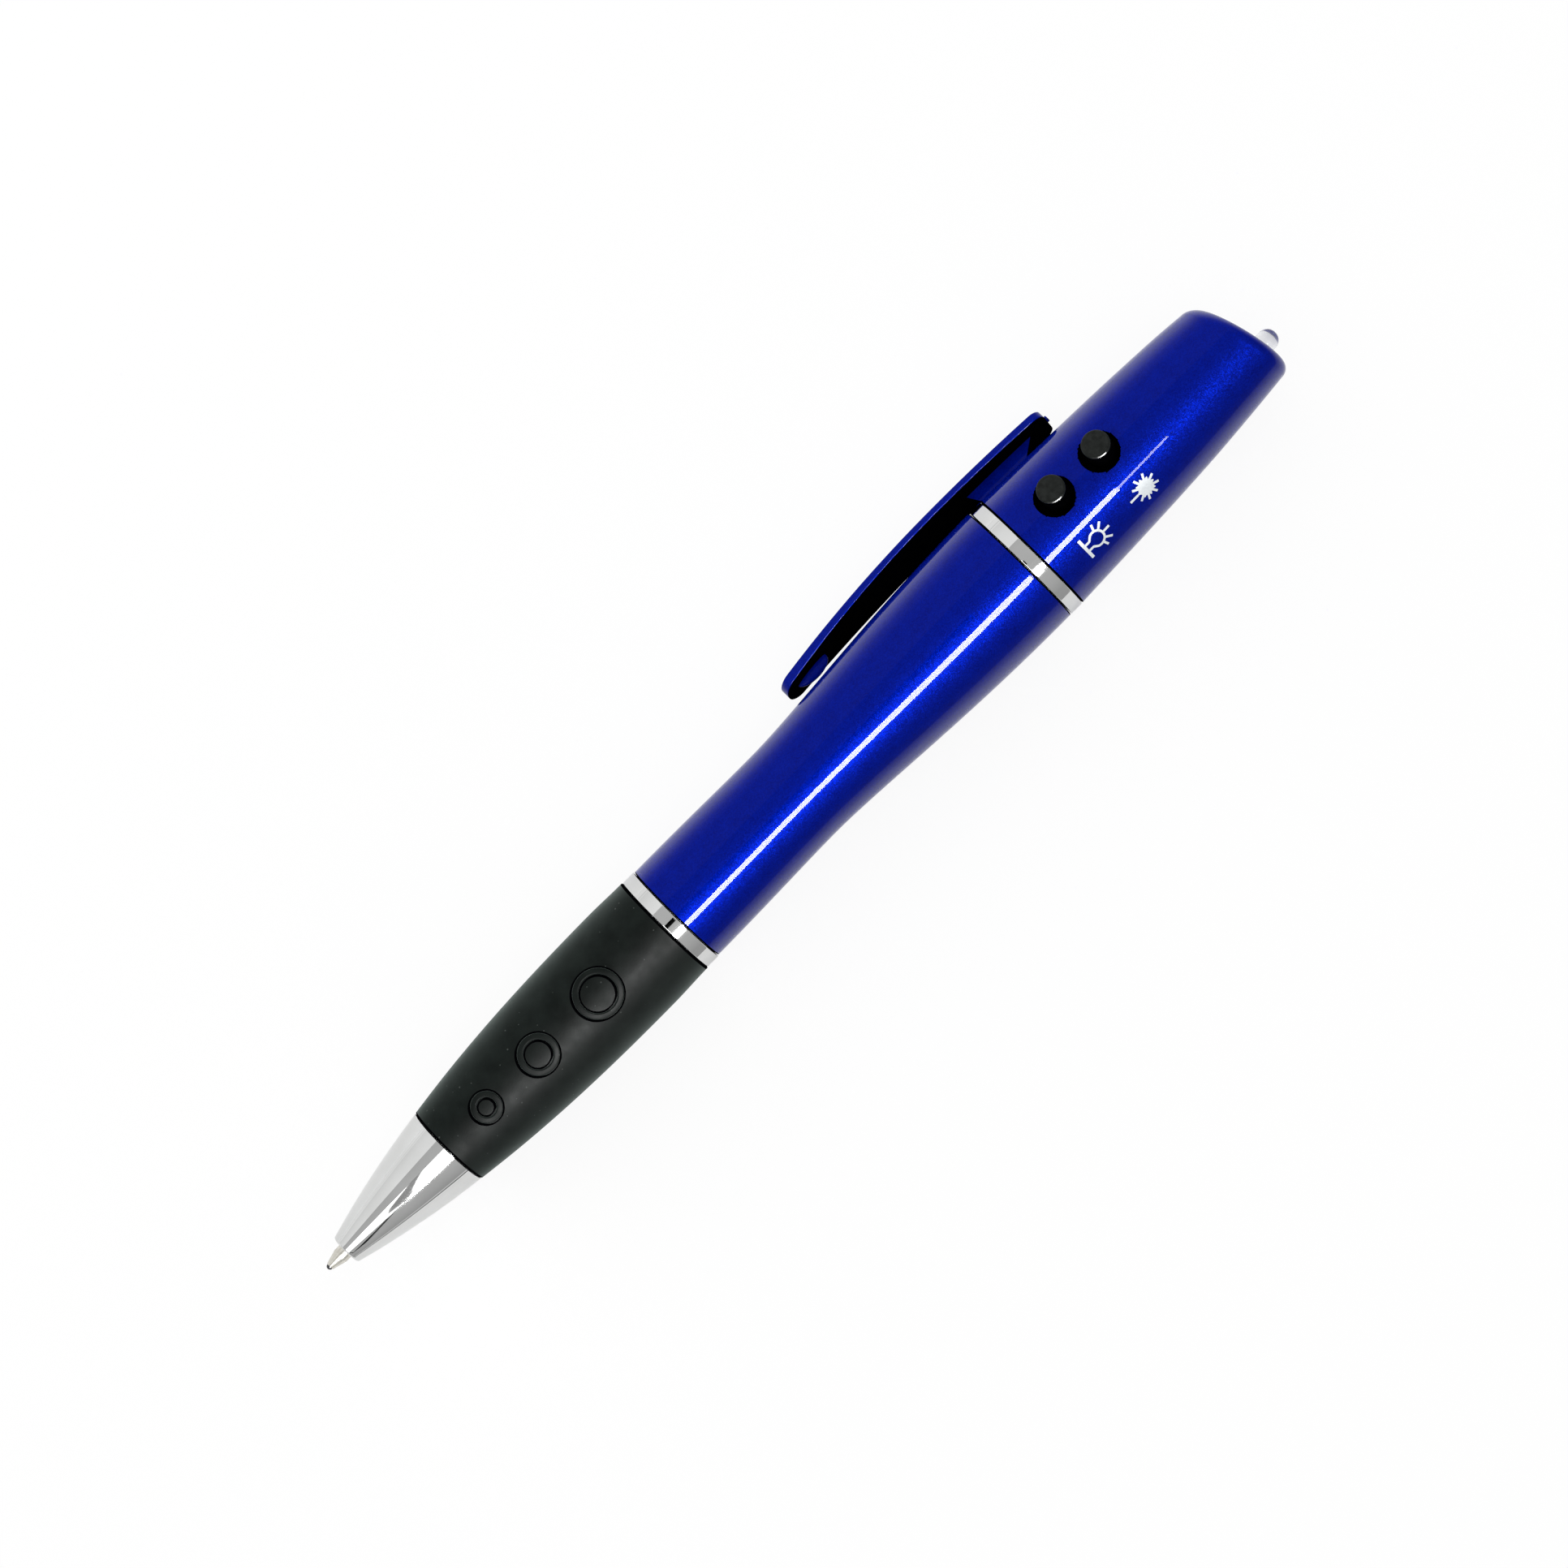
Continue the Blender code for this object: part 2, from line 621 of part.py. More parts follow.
def build_barrel(barrel):
    waist = BARREL_FRONT + WAIST_PLACE
    start = (BARREL_FRONT + SHELL_EDGE, BARREL_FRONT_RADIUS)
    end = (BARREL_BACK - SHELL_EDGE, BARREL_BACK_RADIUS)
    front = easy_curve(start, (waist, WAIST_RADIUS), BARREL_FALL_EASE, steps=5)
    back = easy_curve((waist, WAIST_RADIUS), end, BARREL_RISE_EASE)
    step = HOLDER_FRONT - SEAM
    shell = [
        (BARREL_FRONT, BARREL_FRONT_RADIUS - SHELL_EDGE), *front, *back[1:],
        (BARREL_BACK, BARREL_BACK_RADIUS - SHELL_EDGE), (BARREL_BACK, HOLDER_SEAT), (step, HOLDER_SEAT),
        (step, BARREL_BORE), (BARREL_FRONT, BARREL_BORE),
    ]
    add_piece("barrel", turned(shell, SHELL_SIDES), "blue", barrel)

    cam_sleeve = add_piece("cam_sleeve", tube(CAM_FRONT, CAM_BACK, CAM_RADIUS, CAM_BORE, INNER_SIDES),
                           "grey_plastic", barrel)
    slot = add_guide("cam_slot", cam_cutter(), barrel)
    combine(cam_sleeve, slot, "DIFFERENCE")

    floor = HOLDER_FRONT + HOLDER_FLOOR
    holder = [
        (floor, 0.0), (floor, HOLDER_BORE), (HOLDER_BACK, HOLDER_BORE), (HOLDER_BACK, HOLDER_RADIUS),
        (HOLDER_FRONT, HOLDER_RADIUS), (HOLDER_FRONT, 0.0),
    ]
    add_piece("battery_holder", turned(holder, INNER_SIDES, closed=False), "white_plastic", barrel)
    for index in range(CELL_COUNT):
        build_cell(f"button_cell_{index + 1}", CELL_BOTTOM + index * CELL_PITCH, barrel)
    build_spring(barrel)


def build_cell(name, front, barrel):
    """Button cell: the narrower negative cap faces the spring."""
    back = front + CELL_THICKNESS
    shoulder = front + CELL_CAP_HEIGHT
    can = [
        (front, 0.0), (front, CELL_CAP_RADIUS), (shoulder, CELL_CAP_RADIUS),
        (shoulder, CELL_RADIUS - RING_EDGE), (shoulder + RING_EDGE, CELL_RADIUS),
        (back - RING_EDGE, CELL_RADIUS), (back, CELL_RADIUS - RING_EDGE), (back, 0.0),
    ]
    add_piece(name, turned(can, INNER_SIDES, closed=False), "steel", barrel)


def spring_points():
    per_turn = 9
    low = SPRING_BASE + SPRING_WIRE
    rise = SPRING_LENGTH - 2 * SPRING_WIRE - FIT
    count = SPRING_TURNS * per_turn
    points = []
    for step in range(count + 1):
        turn = math.tau * step / per_turn
        height = low + rise * step / count
        points.append(Vector((height, SPRING_RADIUS * math.sin(turn), SPRING_RADIUS * math.cos(turn))))
    gaps = [
        (first - second).length - 2 * SPRING_WIRE
        for index, first in enumerate(points) for second in points[index + per_turn // 2:]
    ]
    print(f"battery_spring: least gap between turns {min(gaps) * 1000:.2f} mm")
    return points


def build_spring(barrel):
    wire = bpy.data.curves.new("battery_spring", "CURVE")
    wire.dimensions = "3D"
    wire.bevel_depth = SPRING_WIRE
    wire.bevel_resolution = 1
    wire.use_fill_caps = True
    points = spring_points()
    spline = wire.splines.new("POLY")
    spline.points.add(len(points) - 1)
    for point, place in zip(spline.points, points):
        point.co = (*place, 1.0)
    wire.materials.append(finish("battery_spring", *LOOKS["steel"]))
    spring = bpy.data.objects.new("battery_spring", wire)
    bpy.context.collection.objects.link(spring)
    spring.parent = barrel


def head_side():
    start = (HEAD_FRONT + SHELL_EDGE, HEAD_FRONT_RADIUS)
    end = (ROUND_START, HEAD_END_RADIUS)
    side = easy_curve(start, end, EVEN_EASE, HEAD_FRONT_SLOPE, HEAD_END_SLOPE)
    return [(HEAD_FRONT, HEAD_FRONT_RADIUS - SHELL_EDGE), *side]


def head_bore():
    return [(HEAD_FRONT, HEAD_BORE), (INSERT_BACK, HEAD_BORE), (END_INSIDE, END_BORE)]


def lean(shape):
    """Slant the end of the head so that it falls away on the clip's side."""
    for vertex in shape.verts:
        share = (vertex.co.x - ROUND_START + SLANT_RUN) / SLANT_RUN
        share = min(max(share, 0.0), 1.0)
        shift = -END_SLANT * vertex.co.z * share * share * (3.0 - 2.0 * share)
        narrowing = 1.0 + HEAD_END_SLOPE * shift / HEAD_END_RADIUS
        vertex.co.x += shift
        vertex.co.y *= narrowing
        vertex.co.z *= narrowing


def build_head_shell(head):
    shares = [step / 3 for step in range(3)]
    dome = [(HEAD_END - END_DOME * share ** 2, END_FACE_RADIUS * share) for share in reversed(shares)]
    rounding = corner(ROUND_START, END_FACE_RADIUS, END_ROUNDING_LENGTH, END_ROUNDING, ROUND_STEPS)
    inside = [(END_INSIDE, 0.0), *reversed(head_bore())]
    shape = turned([*inside, *head_side(), *rounding, *dome], SHELL_SIDES, closed=False)
    lean(shape)
    shell = add_piece("head_shell", shape, "blue", head)

    for name, station in (("lamp_hole", LAMP_BUTTON_PLACE), ("laser_hole", LASER_BUTTON_PLACE)):
        hole = rod(HEAD_BORE / 2, 2 * HEAD_BORE, HOLE_RADIUS, INNER_SIDES)
        combine(shell, add_guide(name, hole, head, radial_place(station, BUTTON_ANGLE)), "DIFFERENCE")
    beyond = LAMP_TIP + LAMP_REACH
    lamp_bore = rod(CARRIER_FRONT, beyond, LAMP_RADIUS + FIT, SMALL_SIDES)
    combine(shell, add_guide("lamp_bore", lamp_bore, head, offset_place(-LAMP_OFFSET)), "DIFFERENCE")
    aperture = rod(CARRIER_FRONT, beyond, LASER_APERTURE, SMALL_SIDES)
    combine(shell, add_guide("laser_aperture", aperture, head, offset_place(CAN_OFFSET)), "DIFFERENCE")
    half = TAB_THICKNESS / 2 + FIT
    slot = block((TAB_FOOT + TONGUE_INSET - LOOSE, TAB_HEEL - TONGUE_INSET + LOOSE), (-half, half),
                 (HEAD_BORE / 2, 2 * HEAD_BORE))
    combine(shell, add_guide("clip_slot", slot, head), "DIFFERENCE")


def build_head_inside(head):
    insert = tube(HEAD_FRONT + SEAM, INSERT_BACK, INSERT_RADIUS, INSERT_BORE, INNER_SIDES)
    add_piece("thread_insert", insert, "brass", head)

    contact_front = CELL_TOP + FIT
    contact_back = contact_front + CONTACT_THICKNESS
    contact = [
        (contact_front, 0.0), (contact_front, CONTACT_RADIUS), (contact_back, CONTACT_RADIUS),
        (contact_back, CONTACT_POST), (BOARD_FRONT - SEAM, CONTACT_POST), (BOARD_FRONT - SEAM, 0.0),
    ]
    add_piece("battery_contact", turned(contact, INNER_SIDES, closed=False), "brass", head)

    half_board = radius_at(head_bore(), BOARD_BACK) - BOARD_EDGE / 2
    half_thickness = BOARD_THICKNESS / 2
    thickness = (-half_thickness, half_thickness)
    board_shape = block(thickness, (-half_board, half_board), (BOARD_FRONT, BOARD_BACK))
    uprights = []
    for edge in board_shape.edges:
        low, high = edge.verts
        if abs(high.co.x - low.co.x) > half_thickness:
            uprights.append(edge)
    bmesh.ops.bevel(board_shape, geom=uprights, offset=BOARD_EDGE, segments=2, affect="EDGES", profile=0.5)
    add_piece("circuit_board", board_shape, "board", head, radial_place(0.0, BUTTON_ANGLE))

    height, width, length = RESISTOR_SIZE
    stations = (("lamp_resistor", LAMP_BUTTON_PLACE), ("laser_resistor", LASER_BUTTON_PLACE))
    for name, station in stations:
        foot = -half_thickness - SEAM
        chip = block((foot - height, foot), (-width / 2, width / 2), (-length / 2, length / 2))
        add_piece(name, chip, "black", head, radial_place(station, BUTTON_ANGLE))

    bore = head_bore()
    back_radius = radius_at(bore, CARRIER_BACK) - FIT
    front_radius = radius_at(bore, CARRIER_FRONT) - FIT
    plug = [
        (CARRIER_BACK, 0.0), (CARRIER_BACK, back_radius), (CARRIER_FRONT, front_radius), (CARRIER_FRONT, 0.0),
    ]
    carrier = add_piece("emitter_carrier", turned(plug, INNER_SIDES, closed=False), "black", head)
    lead_hole = rod(CARRIER_BACK - LOOSE, CARRIER_FRONT + LOOSE, LEAD_GAP + 2 * LEAD_WIDTH, SMALL_SIDES)
    combine(carrier, add_guide("lead_hole", lead_hole, head, offset_place(-LAMP_OFFSET)), "DIFFERENCE")
    can_hole = rod(CARRIER_BACK - LOOSE, CARRIER_FRONT + LOOSE, CAN_RADIUS + FIT, INNER_SIDES)
    combine(carrier, add_guide("can_hole", can_hole, head, offset_place(CAN_OFFSET)), "DIFFERENCE")


def build_lamp(head):
    back = CARRIER_FRONT + FIT
    shoulder = back + LAMP_FLANGE
    dome_start = LAMP_TIP - LAMP_RADIUS
    dome = corner(dome_start, 0.0, LAMP_RADIUS, LAMP_RADIUS, ROUND_STEPS)
    body = [
        (back, 0.0), (back, LAMP_FLANGE_RADIUS), (shoulder, LAMP_FLANGE_RADIUS),
        (shoulder, LAMP_RADIUS), (dome_start, LAMP_RADIUS), *dome[:-1], (LAMP_TIP, 0.0),
    ]
    place = offset_place(-LAMP_OFFSET)
    lamp = add_piece("lamp_led", turned(body, SMALL_SIDES, closed=False), "clear_plastic", head, place)
    add_leads(lamp, "lamp_lead", back + LAMP_FLANGE / 2, head, -LAMP_OFFSET)


def add_leads(piece, name, root, head, height):
    """Two leads that run from a component to both faces of the board and lap over its edge."""
    across = Vector((0.0, -math.sin(BUTTON_ANGLE), math.cos(BUTTON_ANGLE)))
    for index, side in enumerate((1.0, -1.0)):
        inner = side * LEAD_GAP
        outer = side * (LEAD_GAP + LEAD_WIDTH)
        thickness = (min(inner, outer), max(inner, outer))
        lead = block(thickness, (-LEAD_WIDTH / 2, LEAD_WIDTH / 2), (BOARD_BACK - LEAD_LAP, root))
        slide = Vector((0.0, 0.0, height)) - across * across.dot(Vector((0.0, 0.0, height)))
        place = Matrix.Translation(slide) @ radial_place(0.0, BUTTON_ANGLE)
        combine(piece, add_guide(f"{name}_{index + 1}", lead, head, place), "UNION")


def build_laser(head):
    place = offset_place(CAN_OFFSET)
    can = tube(CAN_FRONT, CARRIER_FRONT, CAN_RADIUS, CAN_BORE, INNER_SIDES)
    add_piece("laser_can", can, "brass", head, place)

    base = CAN_BORE - FIT
    cap = base - DIODE_SHOULDER
    back = CAN_FRONT + FIT
    shoulder = back + DIODE_BASE
    window = shoulder + DIODE_CAP
    diode_outline = [
        (back, 0.0), (back, base), (shoulder, base), (shoulder, cap), (window, cap), (window, 0.0),
    ]
    diode = add_piece("laser_diode", turned(diode_outline, SMALL_SIDES, closed=False), "brass", head, place)
    add_leads(diode, "diode_lead", back + DIODE_BASE / 2, head, CAN_OFFSET)

    lens_back = CARRIER_FRONT - 2 * LENS_BULGE - LENS_EDGE
    lens_front = lens_back + LENS_BULGE + LENS_EDGE
    shares = [step / 3 for step in range(4)]
    rear = [(lens_back + LENS_BULGE * share ** 2, base * share) for share in shares]
    face = [(lens_front + LENS_BULGE * (1.0 - share ** 2), base * share) for share in reversed(shares)]
    add_piece("laser_lens", turned([*rear, *face], SMALL_SIDES, closed=False), "glass", head, place)


def build_button(kind, station, head, moving):
    """Push button with its switch: the flange under the shell keeps it in, the post works the stem."""
    inside = radius_at(head_bore(), station)
    outside = radius_at(head_side(), station)
    flange_top = math.sqrt(inside ** 2 - FLANGE_RADIUS ** 2) - SEAM
    flange_foot = flange_top - BUTTON_FLANGE
    top = outside + BUTTON_HEIGHT
    post_foot = flange_foot - BUTTON_POST
    flange = FLANGE_RADIUS - FIT
    edge = top - BUTTON_ROUNDING
    face = BUTTON_RADIUS - BUTTON_ROUNDING
    button = [
        (post_foot, 0.0), (post_foot, STEM_RADIUS), (flange_foot, STEM_RADIUS), (flange_foot, flange),
        (flange_top, flange), (flange_top, BUTTON_RADIUS), (edge, BUTTON_RADIUS),
        *corner(edge, face, BUTTON_ROUNDING, BUTTON_ROUNDING, 3), (top, 0.0),
    ]
    place = radial_place(station, BUTTON_ANGLE)
    add_piece(f"{kind}_button", turned(button, INNER_SIDES, closed=False), "black", moving, place)

    stem_top = post_foot - SEAM
    switch_top = stem_top - STEM_PROUD
    stem_foot = switch_top - STEM_PROUD / 2
    stem = rod(stem_foot, stem_top, STEM_RADIUS, SMALL_SIDES)
    add_piece(f"{kind}_switch_stem", stem, "black", moving, place)

    half = SWITCH_SIZE / 2
    switch_foot = BOARD_THICKNESS / 2 + SEAM
    body = block((switch_foot, switch_top), (-half, half), (-half, half))
    switch = add_piece(f"{kind}_switch", body, "steel", head, place)
    well = rod(stem_foot - BUTTON_TRAVEL - FIT, stem_top, STEM_RADIUS + RUN, SMALL_SIDES)
    combine(switch, add_guide(f"{kind}_stem_well", well, head, place), "DIFFERENCE")


def clip_share(station):
    """Squared distance from the clip's crown, and which end it leans to."""
    if station < CLIP_CROWN:
        return ((CLIP_CROWN - station) / (CLIP_CROWN - CLIP_LOW)) ** 2, True
    return ((station - CLIP_CROWN) / (CLIP_HIGH - CLIP_CROWN)) ** 2, False


def clip_outside(station):
    share, low = clip_share(station)
    return CLIP_RADIUS - share * (CLIP_DROP_LOW if low else CLIP_DROP_HIGH)


def clip_inside(station):
    share, low = clip_share(station)
    return clip_outside(station) - CLIP_THICKNESS - share * (CLIP_SWELL_LOW if low else CLIP_SWELL_HIGH)


def clip_half_width(station):
    share, low = clip_share(station)
    width = CLIP_HALF_WIDTH - share * (CLIP_TAPER_LOW if low else CLIP_TAPER_HIGH)
    radius = CLIP_CORNER_LOW if low else CLIP_CORNER_HIGH
    room = station - CLIP_LOW if low else CLIP_HIGH - station
    short = max(radius - room, 0.0)
    return width - radius + math.sqrt(radius ** 2 - short ** 2)


def clip_stations():
    turns = [math.pi / 2 * step / ROUND_STEPS for step in range(ROUND_STEPS + 1)]
    low = [CLIP_LOW + CLIP_CORNER_LOW * (1.0 - math.cos(turn)) for turn in turns]
    high = [CLIP_HIGH - CLIP_CORNER_HIGH * (1.0 - math.cos(turn)) for turn in reversed(turns)]
    steps = 12
    between = [low[-1] + (high[0] - low[-1]) * step / steps for step in range(1, steps)]
    return [*low, *between, *high]


def clip_ring(station):
    """Section across the clip: a flat bar with broken edges."""
    half = clip_half_width(station)
    inside = clip_inside(station)
    outside = clip_outside(station)
    quarter = [(half, outside - CLIP_EDGE), (half - CLIP_EDGE, outside)]
    lower = [(half - CLIP_EDGE, inside), (half, inside + CLIP_EDGE)]
    right = [*lower, *quarter]
    left = [(-across, height) for across, height in reversed(right)]
    return [(station, across, height) for across, height in (*right, *left)]


def build_clip(clip, pivot):
    shape = lofted([clip_ring(station) for station in clip_stations()])
    shift = Matrix.Translation(-pivot)
    bar = add_piece("clip", shape, "blue", clip, shift)

    station = CLIP_LOW + BUMP_PLACE
    root = clip_inside(station)
    sink = CLIP_THICKNESS / 2
    crest = corner(0.0, 0.0, BUMP_HEIGHT, 1.0, 4)
    dome = [(-sink, 0.0), (-sink, 1.0), (0.0, 1.0), *crest[:-1], (BUMP_HEIGHT, 0.0)]
    bump = turned(dome, SMALL_SIDES, closed=False)
    stretch = Matrix.Diagonal((1.0, BUMP_HALF_WIDTH, BUMP_HALF_LENGTH, 1.0))
    bump.transform(stretch)
    bump_place = shift @ Matrix.Translation((0.0, 0.0, root)) @ radial_place(station, math.pi)
    combine(bar, add_guide("clip_bump", bump, clip, bump_place), "UNION")

    pip_height = (clip_inside(CLIP_HIGH) + clip_outside(CLIP_HIGH)) / 2
    pip = rod(CLIP_HIGH - PIP_RADIUS, CLIP_HIGH + PIP_REACH, PIP_RADIUS, SMALL_SIDES // 2)
    combine(bar, add_guide("clip_pip", pip, clip, shift @ offset_place(pip_height)), "UNION")

    top_low = TAB_FOOT - TAB_FLARE_LOW
    top_high = TAB_HEEL + TAB_FLARE_HIGH
    tongue = TAB_SEAT - TONGUE_DEPTH
    tongue_low = TAB_FOOT + TONGUE_INSET
    tongue_high = TAB_HEEL - TONGUE_INSET
    web = [
        (top_low, clip_inside(top_low) + sink), (TAB_FOOT, TAB_SEAT), (tongue_low, TAB_SEAT),
        (tongue_low, tongue), (tongue_high, tongue), (tongue_high, TAB_SEAT),
        (TAB_HEEL, TAB_SEAT), (top_high, clip_inside(top_high) + sink),
    ]
    tab = plate(web, (-TAB_THICKNESS / 2, TAB_THICKNESS / 2))
    combine(bar, add_guide("clip_tab", tab, clip, shift), "UNION")


def lay_down(pen):
    """Roll the pen until one edge of the clip meets the table, and centre it over the origin."""
    floor = max(UPPER_RING_RADIUS, BARREL_BACK_RADIUS, HEAD_FRONT_RADIUS)
    edges = [point for station in clip_stations() for point in clip_ring(station)]
    touches = []
    for _, across, height in edges:
        reach = math.hypot(across, height)
        if reach > floor:
            touches.append(math.asin(floor / reach) - math.atan2(across, height))
    roll = math.pi / 2 + min(touches)
    turn = Matrix.Rotation(math.pi, 4, "Z") @ Matrix.Rotation(-roll, 4, "X")
    clip_side = min((turn @ Vector(point)).y for point in edges)
    middle = -(clip_side + floor) / 2
    pen.matrix_world = Matrix.Translation((LAMP_TIP / 2, middle, floor)) @ turn


def main():
    clear_scene()
    pen = add_empty("pen")
    barrel = add_empty("barrel_axis", pen)
    lower = add_empty("twist_axis", pen)
    refill = add_empty("refill_axis", lower)
    thread = add_empty("thread_axis", pen)
    head = add_empty("head_axis", thread)
    pivot = Vector((TAB_HEEL, 0.0, TAB_SEAT))
    clip = add_empty("clip_pivot", head, pivot)

    build_refill(refill)
    build_lower_section(lower)
    build_barrel(barrel)
    upper_ring = ring_outline(UPPER_RING_FRONT, UPPER_RING_RADIUS, HOLDER_SEAT)
    add_piece("upper_trim_ring", turned(upper_ring, SHELL_SIDES), "chrome", thread)
    build_head_shell(head)
    build_head_inside(head)
    build_lamp(head)
    build_laser(head)
    for kind, station in (("lamp", LAMP_BUTTON_PLACE), ("laser", LASER_BUTTON_PLACE)):
        build_button(kind, station, head, add_empty(f"{kind}_button_axis", head))
    build_clip(clip, pivot)
    lay_down(pen)


main()
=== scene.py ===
# %% [markdown]
# # A laser pointer pen
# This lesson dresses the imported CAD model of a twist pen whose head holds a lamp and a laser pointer.
# The CAD model gives every place and every joint. Here the pen gets its fine shapes, its finishes and
# its studio. Each cell explains one piece of the real pen before it makes it.

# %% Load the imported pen
import json
import math

import bmesh
import bpy
import numpy as np
from mathutils import Matrix, Vector
from mathutils.geometry import interpolate_bezier


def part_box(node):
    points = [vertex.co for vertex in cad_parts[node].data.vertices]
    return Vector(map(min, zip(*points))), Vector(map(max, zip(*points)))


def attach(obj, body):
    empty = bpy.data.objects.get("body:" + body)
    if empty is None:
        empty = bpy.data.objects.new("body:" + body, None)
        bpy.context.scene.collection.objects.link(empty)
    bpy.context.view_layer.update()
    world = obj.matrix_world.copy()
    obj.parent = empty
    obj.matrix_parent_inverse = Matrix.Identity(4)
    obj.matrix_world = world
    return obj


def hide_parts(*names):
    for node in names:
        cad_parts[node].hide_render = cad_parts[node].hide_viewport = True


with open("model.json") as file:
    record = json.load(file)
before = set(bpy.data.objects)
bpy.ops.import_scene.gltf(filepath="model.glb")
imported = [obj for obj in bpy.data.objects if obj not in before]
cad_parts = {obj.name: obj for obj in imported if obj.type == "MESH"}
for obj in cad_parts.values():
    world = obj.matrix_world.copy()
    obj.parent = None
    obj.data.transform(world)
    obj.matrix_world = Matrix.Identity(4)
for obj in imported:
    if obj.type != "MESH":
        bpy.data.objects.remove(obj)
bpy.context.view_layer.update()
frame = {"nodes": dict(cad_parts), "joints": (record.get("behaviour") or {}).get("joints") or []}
scene = bpy.context.scene

# %% [markdown]
# ## The pen's own frame
# A pen is easiest to draw lying along one axis, as on a lathe. The joints of the record say where that
# axis runs: the twist turns about it, and the clip's hinge gives the direction across it. From these
# one matrix carries everything from the drawing to the table. Lengths are in millimetres on the drawing.

# %% Find the pen's axis
MM = 0.001
joints = {joint["name"]: joint for joint in frame["joints"]}
pen_along = Vector(joints["twist"]["axis"])
pen_across = Vector(joints["clip_flex"]["axis"])
pen_clipward = pen_along.cross(pen_across)
axis_point = Vector(joints["twist"]["pos_m"])
ball_tip = Vector((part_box("writing_ball")[1].x, axis_point.y, axis_point.z))
drawing_to_table = Matrix((pen_along, pen_across, pen_clipward)).transposed().to_4x4()
drawing_to_table.translation = ball_tip
print("the ball's tip is at", [round(value * 1000, 2) for value in ball_tip], "mm")

# %% [markdown]
# ## Camera
# The photograph looks almost straight down on the pen, which runs from the lower left to the upper
# right. A long lens, about 150 mm, keeps the pen nearly free of perspective. The camera is built from
# three directions, to the right, up and backwards, which is more exact than turning it by angles.

# %% Set up the camera
PHOTO_PIXELS = 1932
PIXELS_PER_METRE = 11098.8
VIEW_TILT = math.radians(3.3)
VIEW_DISTANCE = 0.709
VIEW_FOOT = -0.015
AIM_ALONG = 0.0001
AIM_ACROSS = -0.00156
PEN_ON_PHOTO = math.atan2(0.7134, 0.7007)
towards_camera = Vector((0.0, -math.sin(VIEW_TILT), math.cos(VIEW_TILT)))
away_from_clip = Vector((0.0, math.cos(VIEW_TILT), math.sin(VIEW_TILT)))
axis_centre = Vector((0.0, axis_point.y, axis_point.z))


def put_in_scene(name, data):
    """An object for a mesh, a lamp or a camera."""
    piece = bpy.data.objects.new(name, data)
    scene.collection.objects.link(piece)
    return piece


def camera_place(eye, aim, rightwards):
    backwards = (eye - aim).normalized()
    right = (rightwards - backwards * rightwards.dot(backwards)).normalized()
    place = Matrix((right, backwards.cross(right), backwards)).transposed().to_4x4()
    place.translation = eye
    return place


eye = axis_centre + towards_camera * VIEW_DISTANCE + Vector((VIEW_FOOT, 0.0, 0.0))
aim = axis_centre + pen_along * AIM_ALONG + away_from_clip * AIM_ACROSS
photo_right = pen_along * math.cos(PEN_ON_PHOTO) + away_from_clip * math.sin(PEN_ON_PHOTO)
lens = bpy.data.cameras.new("photo_camera")
lens.sensor_width = 36.0
lens.lens = lens.sensor_width * PIXELS_PER_METRE * (eye - aim).length / PHOTO_PIXELS
lens.clip_start = 0.01
lens.clip_end = 50.0
scene.camera = put_in_scene("photo_camera", lens)
scene.camera.matrix_world = camera_place(eye, aim, photo_right)
print("camera lens", round(lens.lens, 1), "mm at", round((eye - aim).length, 3), "m")

# %% [markdown]
# ## Helpers for node trees
# Materials and Geometry Nodes are both trees of nodes. One helper adds a node, sets its choices and
# joins its inputs: a socket is linked, anything else becomes the input's own value.

# %% Helpers for nodes
def add_node(tree, kind, inputs=None, **choices):
    node = tree.nodes.new(kind)
    for name, choice in choices.items():
        setattr(node, name, choice)
    for key, value in (inputs or {}).items():
        if isinstance(value, bpy.types.NodeSocket):
            tree.links.new(value, node.inputs[key])
        else:
            node.inputs[key].default_value = value
    return node


def made(tree, kind, inputs=None, **choices):
    """Add a node and give its first output."""
    return add_node(tree, kind, inputs, **choices).outputs[0]


def sums(tree, operation, first, second=0.0, third=0.0):
    """One sum of a Math node."""
    return made(tree, "ShaderNodeMath", {0: first, 1: second, 2: third}, operation=operation)


def axis_of(tree, vector, axis):
    return add_node(tree, "ShaderNodeSeparateXYZ", {0: vector}).outputs[axis]


def ramp(tree, factor, stops):
    """Colours along a ramp: (place, colour) pairs."""
    node = add_node(tree, "ShaderNodeValToRGB", {"Fac": factor})
    elements = node.color_ramp.elements
    while len(elements) < len(stops):
        elements.new(1.0)
    for element, (place, color) in zip(elements, stops):
        element.position = place
        element.color = (*color, 1.0)
    return node.outputs["Color"]


def grey(level):
    return (level, level, level)


def grey_stops(stops):
    return [(place, grey(level)) for place, level in stops]


# %% [markdown]
# ## Studio
# The chrome shows what stands around the pen: a white table, a wide window on the clip's side, a narrow
# bright strip lamp and a low grey card on the other side, and a grey room above. The white table is
# painted white for the camera, for mirrors and for glass, and stays an ordinary matt table under that,
# so that the pen keeps its soft shadow.

# %% White table
TABLE_REACH = 4.0
TABLE_MATT = 0.85
SHADOW_SHARE = 0.1
MIRROR_SHADOW_SHARE = 0.8


def bare_material(name):
    """A material whose tree is still empty."""
    material = bpy.data.materials.new(name)
    material.use_nodes = True
    material.node_tree.nodes.clear()
    return material, material.node_tree


